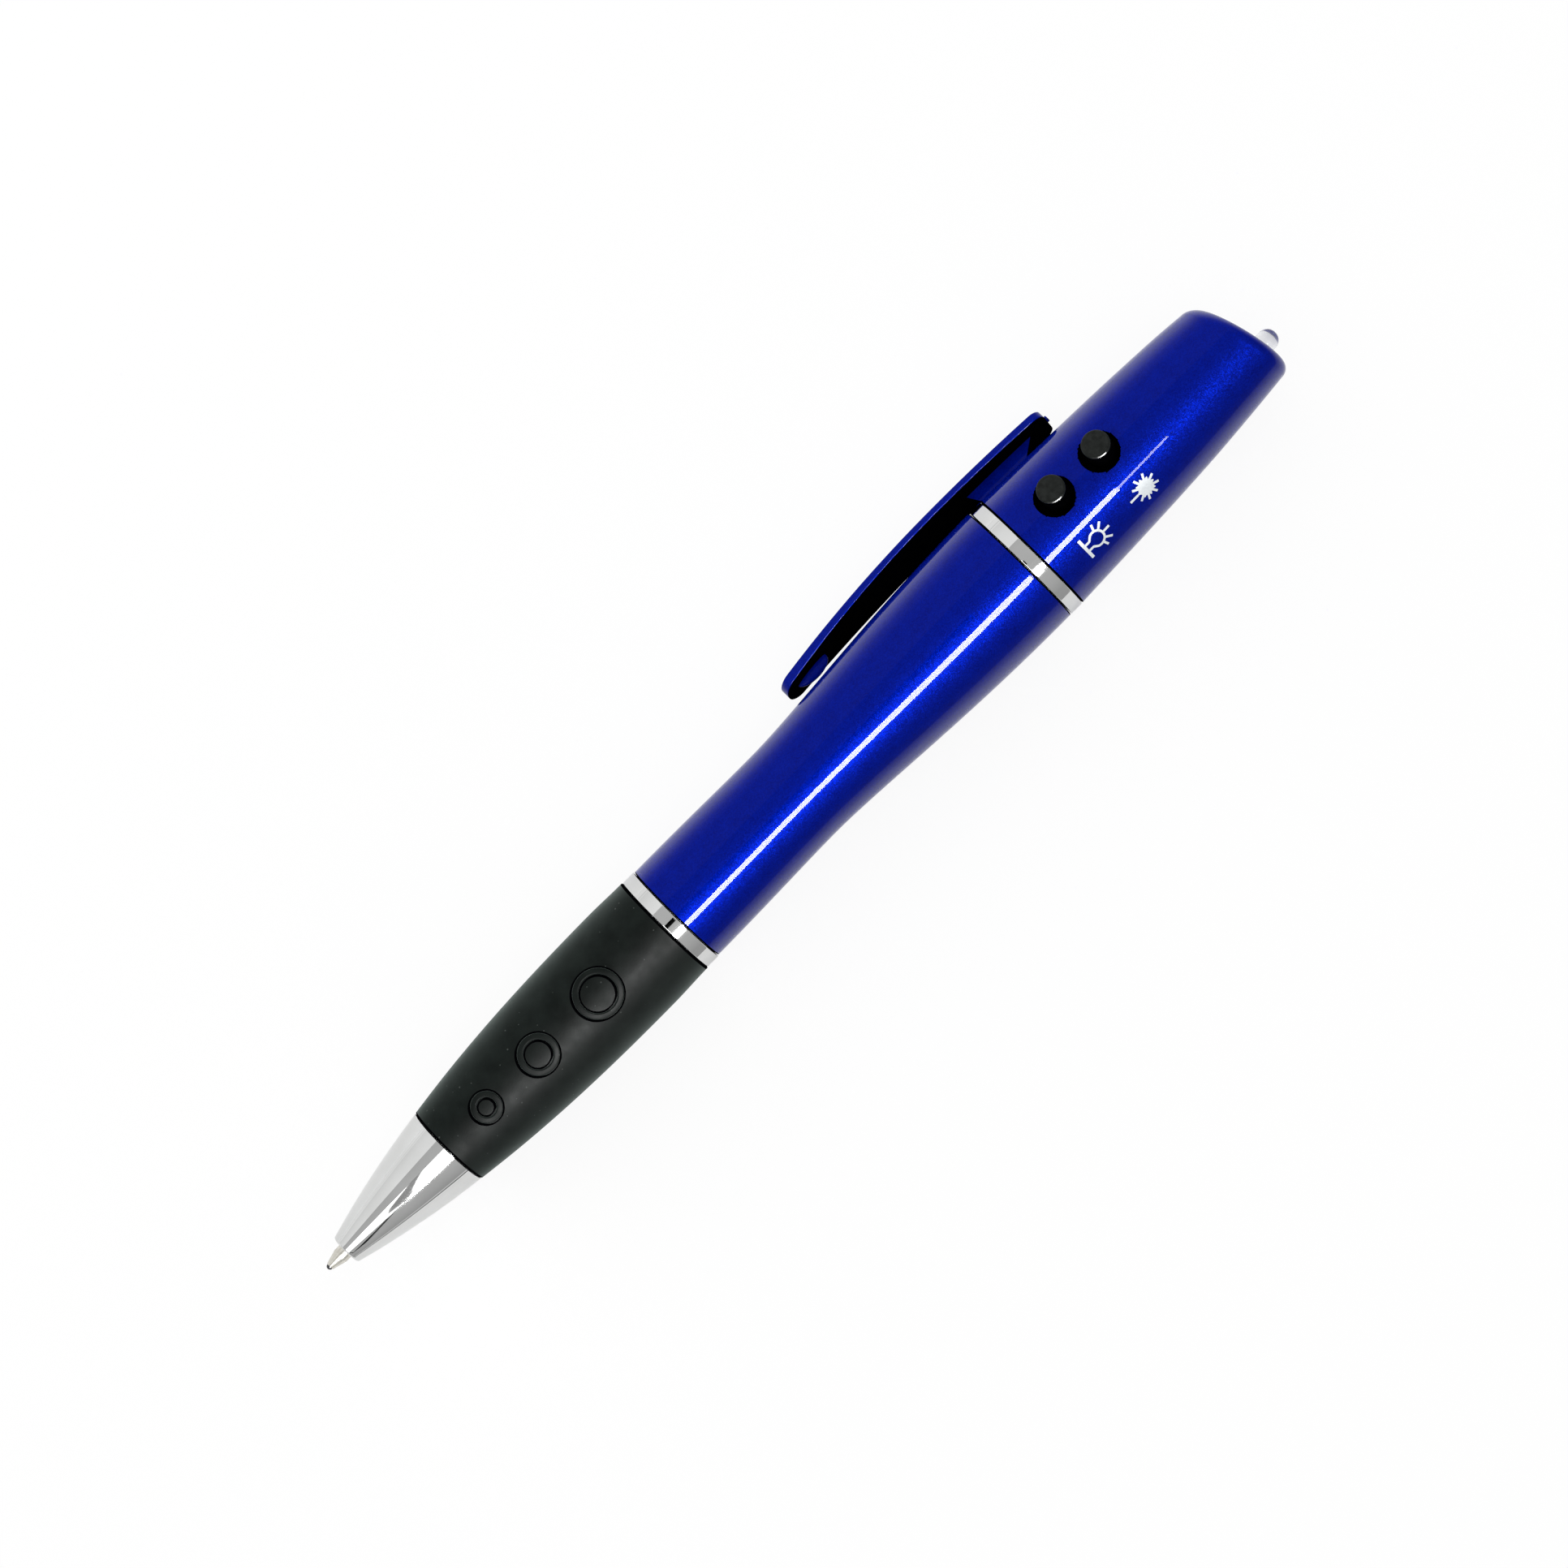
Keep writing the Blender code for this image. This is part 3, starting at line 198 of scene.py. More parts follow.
def painted_white(name):
    material, tree = bare_material(name)
    path = add_node(tree, "ShaderNodeLightPath").outputs
    mirrored = sums(tree, "MAXIMUM", path["Is Glossy Ray"], path["Is Transmission Ray"])
    result = made(tree, "ShaderNodeBsdfDiffuse", {"Color": (*grey(TABLE_MATT), 1.0)})
    paper = made(tree, "ShaderNodeBsdfDiffuse", {"Color": (*grey(1.0), 1.0)})
    white = made(tree, "ShaderNodeEmission", {"Color": (*grey(1.0), 1.0), "Strength": 1.0})
    for ray, share in ((mirrored, MIRROR_SHADOW_SHARE), (path["Is Camera Ray"], SHADOW_SHARE)):
        shaded = made(tree, "ShaderNodeMixShader", {0: share, 1: white, 2: paper})
        result = made(tree, "ShaderNodeMixShader", {0: ray, 1: result, 2: shaded})
    add_node(tree, "ShaderNodeOutputMaterial", {0: result})
    return material


def mesh_from(name, shape, *materials):
    """Turn a bmesh into a mesh."""
    mesh = bpy.data.meshes.new(name)
    shape.to_mesh(mesh)
    shape.free()
    for material in materials:
        mesh.materials.append(material)
    return mesh


table_shape = bmesh.new()
bmesh.ops.create_circle(table_shape, cap_ends=True, segments=96, radius=TABLE_REACH)
table = put_in_scene("white_table", mesh_from("white_table", table_shape, painted_white("white_table")))
print("table", 2 * TABLE_REACH, "m across")

# %% Grey room
ROOM_STOPS = ((0.0, 1.0), (0.565, 1.0), (0.61, 0.41), (0.75, 0.5), (0.95, 0.59))
room = bpy.data.worlds.new("grey_room")
scene.world = room
room.use_nodes = True
room_tree = room.node_tree
room_tree.nodes.clear()
sky = add_node(room_tree, "ShaderNodeTexCoord").outputs["Generated"]
share = sums(room_tree, "MULTIPLY_ADD", axis_of(room_tree, sky, "Z"), 0.5, 0.5)
walls = ramp(room_tree, share, grey_stops(ROOM_STOPS))
air = made(room_tree, "ShaderNodeBackground", {"Color": walls, "Strength": 1.0})
add_node(room_tree, "ShaderNodeOutputWorld", {0: air})
scene.view_settings.view_transform = "Standard"
print("room levels", ROOM_STOPS)

# %% [markdown]
# ## Lamps
# An area lamp sends out its power over its surface, so the brightness that a mirror shows is the power
# divided by pi and by the area. Each lamp is placed by the angle at which the pen sees it, measured
# round the pen's axis from the camera, and its power follows from the brightness that it should show.
# The strip lamp is very bright and fades towards the head, and it lights no matt surface. The ceiling
# light is the other way round: it lights the colours and shows in no mirror.

# %% Place the lamps
TABLE_ALONG = Vector((1.0, 0.0, 0.0))


def place_round(angle, distance, along):
    """A frame at an angle round the pen, with its Z axis pointing away from the pen."""
    outward = towards_camera * math.cos(angle) + away_from_clip * math.sin(angle)
    place = Matrix((TABLE_ALONG, outward.cross(TABLE_ALONG), outward)).transposed().to_4x4()
    place.translation = axis_centre + outward * distance + TABLE_ALONG * along
    return place


def add_lamp(name, edges, distance, span, brightness, hidden=("diffuse",)):
    """A rectangular lamp between two angles round the pen and two places along it."""
    low, high = (math.radians(edge) for edge in edges)
    width = 2.0 * distance * math.tan((high - low) / 2.0)
    length = span[1] - span[0]
    light = bpy.data.lights.new(name, "AREA")
    light.shape = "RECTANGLE"
    light.size = length
    light.size_y = width
    light.energy = brightness * math.pi * length * width
    lamp = put_in_scene(name, light)
    lamp.matrix_world = place_round((low + high) / 2.0, distance, (span[0] + span[1]) / 2.0)
    lamp.visible_camera = False
    for ray in hidden:
        setattr(lamp, f"visible_{ray}", False)
    print(name, "gives", round(light.energy, 1), "W")


add_lamp("window", (-76.0, -30.5), 0.8, (-1.3, 1.3), 0.46, hidden=())
add_lamp("strip_lamp", (23.3, 33.3), 0.5, (-0.07, 0.3), 205.0)
add_lamp("strip_end", (23.6, 32.6), 0.5, (-0.105, -0.07), 205.0)
add_lamp("strip_fade", (26.0, 30.0), 0.5, (-0.135, -0.105), 90.0)
add_lamp("strip_glow", (21.0, 36.5), 0.52, (-0.07, 0.2), 1.4)
add_lamp("nose_lamp", (-3.0, 27.0), 0.5, (0.14, 0.7), 2.4)
add_lamp("ceiling_light", (-62.0, 18.0), 1.4, (-1.2, 1.2), 0.78, hidden=("glossy", "transmission"))

# %% [markdown]
# ## Cards
# A photographer sets cards round a shiny thing, to draw the lines that show its shape. A card here is a
# flat glowing patch that only mirrors see. Its corners are given in metres from the middle of the pen:
# towards the camera, away from the clip, and along the table.

# %% Cards that only mirrors see
def glowing(name, level):
    material, tree = bare_material(name)
    glow = made(tree, "ShaderNodeEmission", {"Color": (*grey(level), 1.0), "Strength": 1.0})
    add_node(tree, "ShaderNodeOutputMaterial", {0: glow})
    return material


def add_card(name, level, *corners):
    shape = bmesh.new()
    places = [axis_centre + towards_camera * near + away_from_clip * side + TABLE_ALONG * along
              for near, side, along in corners]
    shape.faces.new([shape.verts.new(place) for place in places])
    card = put_in_scene(name, mesh_from(name, shape, glowing(name, level)))
    for ray in ("camera", "diffuse", "shadow", "transmission"):
        setattr(card, f"visible_{ray}", False)
    print(name, "shows a level of", level)


add_card("side_card", 0.41, (0.03, 0.12, -0.6), (0.03, 0.12, 0.08), (-0.02, 0.12, 0.08), (-0.02, 0.12, -0.6))
add_card("ring_line", 0.0,
         (0.5, 0.002, -0.007), (0.5, 0.002, 0.15), (0.5, 0.074, 0.15), (0.5, 0.074, -0.007))
add_card("far_edge", 0.03, (0.08, 1.0, 0.2), (0.12, 1.0, 1.2), (0.06, 1.0, 1.2), (0.03, 1.0, 0.2))
add_card("lamp_frame", 0.01,
         (0.271, 0.343, 0.348), (0.240, 0.307, 0.348), (0.366, 0.205, 0.311), (0.387, 0.229, 0.311))
add_card("lamp_stand", 0.36,
         (0.426, -0.03, 0.265), (0.431, -0.03, 0.243), (0.4, 0.12, 0.262), (0.372, 0.211, 0.259),
         (0.37, 0.211, 0.273), (0.38, 0.13, 0.298), (0.41, 0.06, 0.302))

# %% [markdown]
# ## Finishes
# Every finish starts from the same few nodes: a noise that follows the object's own coordinates shades
# the colour, a second one the roughness, and a fine one raises a slight bump. Grain sizes are given in
# millimetres, because a texture only looks right at its real size.

# %% Helpers for finishes
NOISE_MIDDLE = (0.3, 0.7)
MOTTLE_STOPS = (0.35, 0.65)
GLOSS_GRAIN = 2.5


def new_finish(name, **constants):
    material = bpy.data.materials.new(name)
    material.use_nodes = True
    tree = material.node_tree
    shader = tree.nodes["Principled BSDF"]
    for label, value in constants.items():
        shader.inputs[label.replace("_", " ")].default_value = value
    spot = add_node(tree, "ShaderNodeTexCoord").outputs["Object"]
    return material, tree, shader, spot


def plug(tree, shader, **sockets):
    for label, socket in sockets.items():
        tree.links.new(socket, shader.inputs[label.replace("_", " ")])


def noise(tree, spot, grain, detail=3.0, stretch=None):
    """Noise whose blotches are about as large as the grain, in millimetres."""
    if stretch:
        spot = made(tree, "ShaderNodeMapping", {"Vector": spot, "Scale": stretch})
    settings = {"Vector": spot, "Scale": 1.0 / (grain * MM), "Detail": detail}
    return add_node(tree, "ShaderNodeTexNoise", settings).outputs["Fac"]


def cells(tree, spot, size):
    """Cells of about a size in millimetres, each with its own random colour."""
    return add_node(tree, "ShaderNodeTexVoronoi", {"Vector": spot, "Scale": 1.0 / (size * MM)}).outputs


def spread(tree, value, low, high):
    """Carry the middle of a noise to a range of values."""
    settings = {"Value": value, "From Min": NOISE_MIDDLE[0], "From Max": NOISE_MIDDLE[1], "To Min": low,
                "To Max": high}
    return add_node(tree, "ShaderNodeMapRange", settings).outputs["Result"]


def raise_bump(tree, value, rise):
    settings = {"Height": value, "Distance": rise * MM, "Strength": 1.0}
    return add_node(tree, "ShaderNodeBump", settings).outputs["Normal"]


def moulded(name, dark_shade, light_shade, roughness, grain, bump_grain, rise, **constants):
    """A finish for a moulded or machined part: mottled colour, uneven gloss and a fine surface."""
    material, tree, shader, spot = new_finish(name, **constants)
    tone = ramp(tree, noise(tree, spot, grain), list(zip(MOTTLE_STOPS, (dark_shade, light_shade))))
    gloss = spread(tree, noise(tree, spot, GLOSS_GRAIN * grain), *roughness)
    bump = raise_bump(tree, noise(tree, spot, bump_grain, 2.0), rise)
    plug(tree, shader, Base_Color=tone, Roughness=gloss, Normal=bump)
    return material


# %% [markdown]
# ### Blue lacquer
# Barrel, head and clip wear a candy lacquer: fine aluminium flakes in a deep blue film under a clear
# coat. A Voronoi texture makes the flakes. Each cell gets its own slight tilt, so single flakes light up
# round the highlight, while the clear coat over them stays smooth and gives the sharp reflection. The
# coat is thin head-on and grows glossy where the surface turns away, as a Layer Weight node tells.

# %% Blue lacquer
FLAKE = 0.11
FLAKE_TILT = 0.16
BLUE_STOPS = ((0.2, (0.0001, 0.0042, 0.165)), (0.8, (0.0003, 0.0084, 0.255)))
FILM_STOPS = ((0.0, 0.145), (0.23, 0.16), (0.33, 0.28), (0.44, 0.72), (0.53, 1.0))


def vector_sums(tree, operation, inputs):
    return made(tree, "ShaderNodeVectorMath", inputs, operation=operation)


def blue_lacquer():
    material, tree, shader, spot = new_finish(
        "blue_lacquer", Metallic=0.09, Specular_IOR_Level=0.0, Coat_Roughness=0.02, Coat_IOR=1.4)
    chance = cells(tree, spot, FLAKE)["Color"]
    glint = add_node(tree, "ShaderNodeSeparateColor", {0: chance}).outputs["Red"]
    cloud = noise(tree, spot, 1.4)
    depth = sums(tree, "ADD", sums(tree, "MULTIPLY", glint, 0.5), sums(tree, "MULTIPLY", cloud, 0.5))
    centred = vector_sums(tree, "ADD", {0: chance, 1: grey(-0.5)})
    tilt = vector_sums(tree, "SCALE", {0: centred, "Scale": FLAKE_TILT})
    upright = add_node(tree, "ShaderNodeNewGeometry").outputs["Normal"]
    flake = vector_sums(tree, "NORMALIZE", {0: vector_sums(tree, "ADD", {0: upright, 1: tilt})})
    facing = add_node(tree, "ShaderNodeLayerWeight", {"Blend": 0.5}).outputs["Facing"]
    plug(tree, shader, Base_Color=ramp(tree, depth, BLUE_STOPS), Normal=flake,
         Roughness=spread(tree, noise(tree, spot, 3.0), 0.37, 0.42),
         Coat_Weight=ramp(tree, facing, grey_stops(FILM_STOPS)),
         Coat_Normal=raise_bump(tree, noise(tree, spot, 1.2, 1.0), 0.0006))
    return material


# %% [markdown]
# ### Chrome
# Nose and trim rings are plated plastic: a mirror, but not a perfect one. Plated plastic ripples a
# little, and fine rub marks run along the pen, so the reflections waver and dim by a few percent.

# %% Chrome
CHROME_STOPS = ((0.3, (0.645, 0.65, 0.642)), (0.7, (0.695, 0.7, 0.696)))
ALONG_THE_PEN = (0.03, 1.0, 1.0)


def chrome_plate():
    material, tree, shader, spot = new_finish("chrome_plate", Metallic=1.0)
    marks = noise(tree, spot, 0.5, 2.0, stretch=ALONG_THE_PEN)
    plug(tree, shader, Base_Color=ramp(tree, noise(tree, spot, 4.0), CHROME_STOPS),
         Roughness=spread(tree, marks, 0.03, 0.06),
         Normal=raise_bump(tree, noise(tree, spot, 2.2, 1.0), 0.0012))
    return material


# %% [markdown]
# ### Grip rubber
# The sleeve is black rubber with a silky, fine-grained skin: a faint sheen brightens it where it turns
# away. It picks up dust, so a few paler specks show on the photograph. A Voronoi texture scatters the
# specks: a cell has one dot in its middle, of its own size, or none.

# %% Grip rubber
DUST_GAP = 0.75
DUST_SIZE = 0.14
DUST_SHARE = 0.45
DUST_TONE = (0.045, 0.051, 0.048, 1.0)
RUBBER_STOPS = ((0.36, (0.0026, 0.0042, 0.0036)), (0.64, (0.0061, 0.0088, 0.0077)))


def grip_rubber():
    material, tree, shader, spot = new_finish(
        "grip_rubber", Specular_IOR_Level=0.026, Sheen_Weight=0.32, Sheen_Roughness=0.45,
        Sheen_Tint=(0.84, 1.0, 0.94, 1.0))
    skin = ramp(tree, noise(tree, spot, 2.2, 5.0), RUBBER_STOPS)
    dust = cells(tree, spot, DUST_GAP)
    chance = add_node(tree, "ShaderNodeSeparateColor", {0: dust["Color"]}).outputs
    chosen = sums(tree, "LESS_THAN", chance["Red"], DUST_SHARE)
    size = sums(tree, "MULTIPLY", sums(tree, "MULTIPLY", chance["Green"], DUST_SIZE), chosen)
    speck = sums(tree, "LESS_THAN", dust["Distance"], size)
    tone = add_node(tree, "ShaderNodeMix", {"Factor": speck, 6: skin, 7: DUST_TONE}, data_type="RGBA")
    plug(tree, shader, Base_Color=tone.outputs[2], Roughness=spread(tree, noise(tree, spot, 1.6), 0.44, 0.56),
         Normal=raise_bump(tree, noise(tree, spot, 0.16, 3.0), 0.008))
    return material


# %% Make the finishes
lacquer = blue_lacquer()
chrome = chrome_plate()
rubber = grip_rubber()
button_black = moulded("button_black", (0.0062, 0.0076, 0.0068), (0.0135, 0.0157, 0.0146), (0.13, 0.19),
                       0.6, 0.12, 0.0008, Specular_IOR_Level=0.11)
# Painted shade: a black without any gloss, laid where shade falls, in gaps, wells, along the rings and under
# the clip.
painted_shade = moulded("painted_shade", (0.0006, 0.0006, 0.0009), (0.0014, 0.0014, 0.002), (0.55, 0.7),
                     0.6, 0.15, 0.003, Specular_IOR_Level=0.0)
black_plastic = moulded("black_plastic", (0.010, 0.010, 0.011), (0.018, 0.018, 0.019), (0.4, 0.52),
                        0.8, 0.15, 0.004)
grey_plastic = moulded("grey_plastic", (0.25, 0.26, 0.27), (0.31, 0.32, 0.33), (0.42, 0.55), 1.2, 0.2, 0.004)
white_plastic = moulded("white_plastic", (0.74, 0.74, 0.71), (0.82, 0.82, 0.80), (0.36, 0.48),
                        1.5, 0.2, 0.003, Subsurface_Weight=0.1, Subsurface_Scale=0.0005)
nickel_silver = moulded("nickel_silver", (0.58, 0.56, 0.50), (0.68, 0.665, 0.61), (0.14, 0.24),
                        0.7, 0.08, 0.0015, Metallic=1.0)
steel = moulded("steel", (0.50, 0.51, 0.52), (0.60, 0.61, 0.63), (0.2, 0.32), 1.0, 0.1, 0.002, Metallic=1.0)
brass = moulded("brass", (0.66, 0.47, 0.19), (0.77, 0.57, 0.26), (0.2, 0.34), 0.9, 0.1, 0.002, Metallic=1.0)
carbide = moulded("carbide", (0.03, 0.03, 0.032), (0.07, 0.07, 0.075), (0.18, 0.3),
                  0.1, 0.05, 0.001, Metallic=0.8)
board_green = moulded("board_green", (0.012, 0.12, 0.045), (0.03, 0.2, 0.08), (0.3, 0.42),
                      0.9, 0.25, 0.004, Coat_Weight=0.3)
ceramic = moulded("ceramic", (0.012, 0.012, 0.014), (0.03, 0.03, 0.033), (0.3, 0.45), 0.3, 0.08, 0.003)
clear_plastic = moulded("clear_plastic", (0.86, 0.88, 0.88), (0.93, 0.94, 0.94), (0.08, 0.16),
                        1.5, 0.4, 0.001, Transmission_Weight=0.9, IOR=1.46)
lamp_resin = moulded("lamp_resin", (0.95, 0.96, 0.97), (1.0, 1.0, 1.0), (0.02, 0.05),
                     1.0, 0.5, 0.0006, Transmission_Weight=1.0, IOR=1.53)
lens_glass = moulded("lens_glass", (0.93, 0.95, 0.97), (0.98, 0.99, 1.0), (0.01, 0.03),
                     1.0, 0.5, 0.0003, Transmission_Weight=1.0, IOR=1.5)
print_white = moulded("print_white", (0.72, 0.77, 0.80), (0.80, 0.85, 0.88), (0.4, 0.5), 0.25, 0.06, 0.003)
print("finishes made")

# %% [markdown]
# ## Turning on the lathe
# Nearly all of the pen is turned. Its half outline is a row of points, station along the pen and radius,
# and a Geometry Nodes tree spins that row: a grid has one row for each point and one column for each
# step round, and every grid point reads its station and radius from the outline. That is a rule, so a
# node tree suits it better than a Spin in Edit Mode, and the number of sides stays an input.

# %% Node tree that turns an outline
WELD = 1e-7


def new_tree(name, sizes):
    tree = bpy.data.node_groups.new(name, "GeometryNodeTree")
    tree.interface.new_socket("Geometry", in_out="INPUT", socket_type="NodeSocketGeometry")
    for label, kind in sizes.items():
        tree.interface.new_socket(label, in_out="INPUT", socket_type=f"NodeSocket{kind}")
    tree.interface.new_socket("Geometry", in_out="OUTPUT", socket_type="NodeSocketGeometry")
    return tree, tree.nodes.new("NodeGroupInput").outputs


def close_tree(tree, geometry, material):
    """Every tree ends the same way: real geometry with a material."""
    real = made(tree, "GeometryNodeRealizeInstances", {0: geometry})
    dressed = made(tree, "GeometryNodeSetMaterial", {"Geometry": real, "Material": material})
    add_node(tree, "NodeGroupOutput", {0: dressed})


def whole_sums(tree, operation, first, second):
    return made(tree, "FunctionNodeIntegerMath", {0: first, 1: second}, operation=operation)


def lathe_tree():
    tree, given = new_tree("lathe", {"Sides": "Int", "Material": "Material"})
    rows = add_node(tree, "GeometryNodeAttributeDomainSize", {0: given["Geometry"]}).outputs["Point Count"]
    columns = whole_sums(tree, "ADD", given["Sides"], 1)
    grid = add_node(tree, "GeometryNodeMeshGrid", {"Vertices X": rows, "Vertices Y": columns}).outputs["Mesh"]
    index = made(tree, "GeometryNodeInputIndex")
    row = whole_sums(tree, "DIVIDE", index, columns)
    column = whole_sums(tree, "MODULO", index, columns)
    place = made(tree, "GeometryNodeInputPosition")
    source = {"Geometry": given["Geometry"], "Value": place, "Index": row}
    point = add_node(tree, "GeometryNodeSampleIndex", source, data_type="FLOAT_VECTOR").outputs["Value"]
    outline = add_node(tree, "ShaderNodeSeparateXYZ", {0: point}).outputs
    turn = sums(tree, "DIVIDE", sums(tree, "MULTIPLY", column, math.tau), given["Sides"])
    across = sums(tree, "MULTIPLY", outline["Z"], sums(tree, "SINE", turn))
    up = sums(tree, "MULTIPLY", outline["Z"], sums(tree, "COSINE", turn))
    spun = made(tree, "ShaderNodeCombineXYZ", {0: outline["X"], 1: across, 2: up})
    moved = made(tree, "GeometryNodeSetPosition", {"Geometry": grid, "Position": spun})
    welded = made(tree, "GeometryNodeMergeByDistance", {"Geometry": moved, "Distance": WELD})
    close_tree(tree, welded, given["Material"])
    return tree


LATHE = lathe_tree()
print("lathe tree has", len(LATHE.nodes), "nodes")

# %% Helpers that run a tree and finish a piece
SLIVER = 1e-8
SHARP_ANGLE = math.radians(38.0)


def evaluated(piece):
    """The mesh of a piece after its modifiers."""
    return bpy.data.meshes.new_from_object(piece.evaluated_get(bpy.context.evaluated_depsgraph_get()))


def apply_modifiers(piece):
    mesh = evaluated(piece)
    piece.modifiers.clear()
    piece.data = mesh


def grow(name, tree, points, sizes):
    """Run a node tree on some points and keep its result as a plain mesh, without an empty material slot."""
    seed = bpy.data.meshes.new(name)
    seed.from_pydata(points, [], [])
    maker = put_in_scene(name, seed)
    modifier = maker.modifiers.new("tree", "NODES")
    modifier.node_group = tree
    for socket in tree.interface.items_tree:
        if socket.in_out == "INPUT" and socket.name in sizes:
            modifier[socket.identifier] = sizes[socket.name]
    mesh = evaluated(maker)
    bpy.data.objects.remove(maker)
    bpy.data.meshes.remove(seed)
    mesh.name = name
    if mesh.materials[0] is None:
        mesh.materials.pop(index=0)
    return mesh


def face_outwards(mesh):
    shape = bmesh.new()
    shape.from_mesh(mesh)
    bmesh.ops.remove_doubles(shape, verts=shape.verts, dist=WELD)
    bmesh.ops.dissolve_degenerate(shape, edges=shape.edges, dist=SLIVER)
    bmesh.ops.recalc_face_normals(shape, faces=shape.faces)
    shape.to_mesh(mesh)
    shape.free()


def turned(name, outline, material, sides=128):
    """Turn a closed outline of (station, radius) points, in millimetres on the drawing."""
    points = [(station * MM, 0.0, radius * MM) for station, radius in (*outline, outline[0])]
    mesh = grow(name, LATHE, points, {"Sides": sides, "Material": material})
    face_outwards(mesh)
    return mesh


def repaint(mesh, material, chosen):
    """Give the faces that pass a test another material; in this script it is always the painted shade."""
    mesh.materials.append(material)
    faces = [face for face in mesh.polygons if chosen(face)]
    for face in faces:
        face.material_index = len(mesh.materials) - 1
    print(len(faces), "faces painted", material.name)


def seated(name, mesh, body, slot, *nodes):
    """Lay a drawn piece on the table, smooth it, hang it on its body and hide the CAD nodes that it stands
    for.
    """
    mesh.transform(drawing_to_table)
    mesh.shade_smooth()
    mesh.set_sharp_from_angle(angle=SHARP_ANGLE)
    piece = put_in_scene(name, mesh)
    smooth = piece.modifiers.new("even", "WEIGHTED_NORMAL")
    smooth.keep_sharp = True
    apply_modifiers(piece)
    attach(piece, body)
    if nodes:
        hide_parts(*nodes)
    print(name, "has", sum(len(face.vertices) - 2 for face in piece.data.polygons), "triangles")


def seat_turned(name, outline, material, sides, body, slot, node):
    seated(name, turned(name, outline, material, sides), body, slot, node)


# %% Helpers that draw outlines
def bend(start, end, ease, slopes=(0.0, 0.0), steps=40):
    """A smooth line between two points of an outline, with its own slope at each end."""
    span = end[0] - start[0]
    lead = ease[0] * span
    trail = ease[1] * span
    first = (start[0] + lead, start[1] + slopes[0] * lead)
    second = (end[0] - trail, end[1] - slopes[1] * trail)
    knots = [Vector((*point, 0.0)) for point in (start, first, second, end)]
    return [(point.x, point.y) for point in interpolate_bezier(*knots, steps + 1)]


def front_rounding(front, radius, size, steps):
    """A quarter round from a front face up to a radius, without its last point."""
    turns = (math.pi / 2 * step / steps for step in range(steps))
    return [(front + size * (1.0 - math.cos(turn)), radius - size + size * math.sin(turn)) for turn in turns]


def back_rounding(start, radius, length, drop, steps):
    """A quarter round that leaves a radius and drops towards the axis, without its first point."""
    turns = (math.pi / 2 * step / steps for step in range(1, steps + 1))
    return [(start + length * math.sin(turn), radius - drop + drop * math.cos(turn)) for turn in turns]


def softened(corners, steps=5):
    """Round the corners of a closed outline: (station, radius, size of the rounding)."""
    outline = []
    for index, (station, radius, size) in enumerate(corners):
        here = Vector((station, radius))
        if size == 0.0:
            outline.append((station, radius))
            continue
        back = (Vector(corners[index - 1][:2]) - here).normalized() * size
        ahead = (Vector(corners[(index + 1) % len(corners)][:2]) - here).normalized() * size
        for step in range(steps + 1):
            share = step / steps
            point = here + back * (1.0 - share) ** 2 + ahead * share ** 2
            outline.append((point.x, point.y))
    return outline


def radius_on(outline, station):
    stations = [point[0] for point in outline]
    radii = [point[1] for point in outline]
    return float(np.interp(station, stations, radii))


# %% [markdown]
# ## Refill point
# The point of the refill is turned from nickel silver: a straight shank, a cone, and a thin lip that is
# rolled over the tungsten carbide ball. A small shoulder shows where cone and shank meet.

# %% Refill point and ball
BALL_RADIUS = 0.38
BALL_STEPS = 20
LIP = 0.405
LIP_RADIUS = 0.47
CUP_RADIUS = 0.41
CUP_END = 2 * BALL_RADIUS + 0.06
CONE_END = 2.05
SHANK_END = 10.0
SHANK_RADIUS = 0.93
PLUG_END = 13.0
PLUG_RADIUS = 0.79
INK_CHANNEL = 0.3
ball_turns = [math.pi * step / BALL_STEPS for step in range(BALL_STEPS + 1)]
ball = [(BALL_RADIUS - BALL_RADIUS * math.cos(turn), BALL_RADIUS * math.sin(turn)) for turn in ball_turns]
point = softened([
    (LIP, LIP_RADIUS, 0.02), (CONE_END, SHANK_RADIUS, 0.12), (SHANK_END, SHANK_RADIUS, 0.05),
    (SHANK_END, PLUG_RADIUS, 0.0), (PLUG_END, PLUG_RADIUS, 0.05), (PLUG_END, INK_CHANNEL, 0.0),
    (2 * BALL_RADIUS + INK_CHANNEL, INK_CHANNEL, 0.0), (CUP_END, CUP_RADIUS, 0.0), (LIP, CUP_RADIUS, 0.0)])
seat_turned("pen_ball", ball, carbide, 40, "refill", "carbide", "writing_ball")
seat_turned("pen_point", point, nickel_silver, 64, "refill", "nickel_silver", "refill_tip")

# %% [markdown]
# ## Chromed nose
# The nose is one bullet-shaped cone. Its outline starts steep at the tip and flattens towards the grip,
# and its front edge is broken with a small rounding, which draws a fine bright line in the chrome.

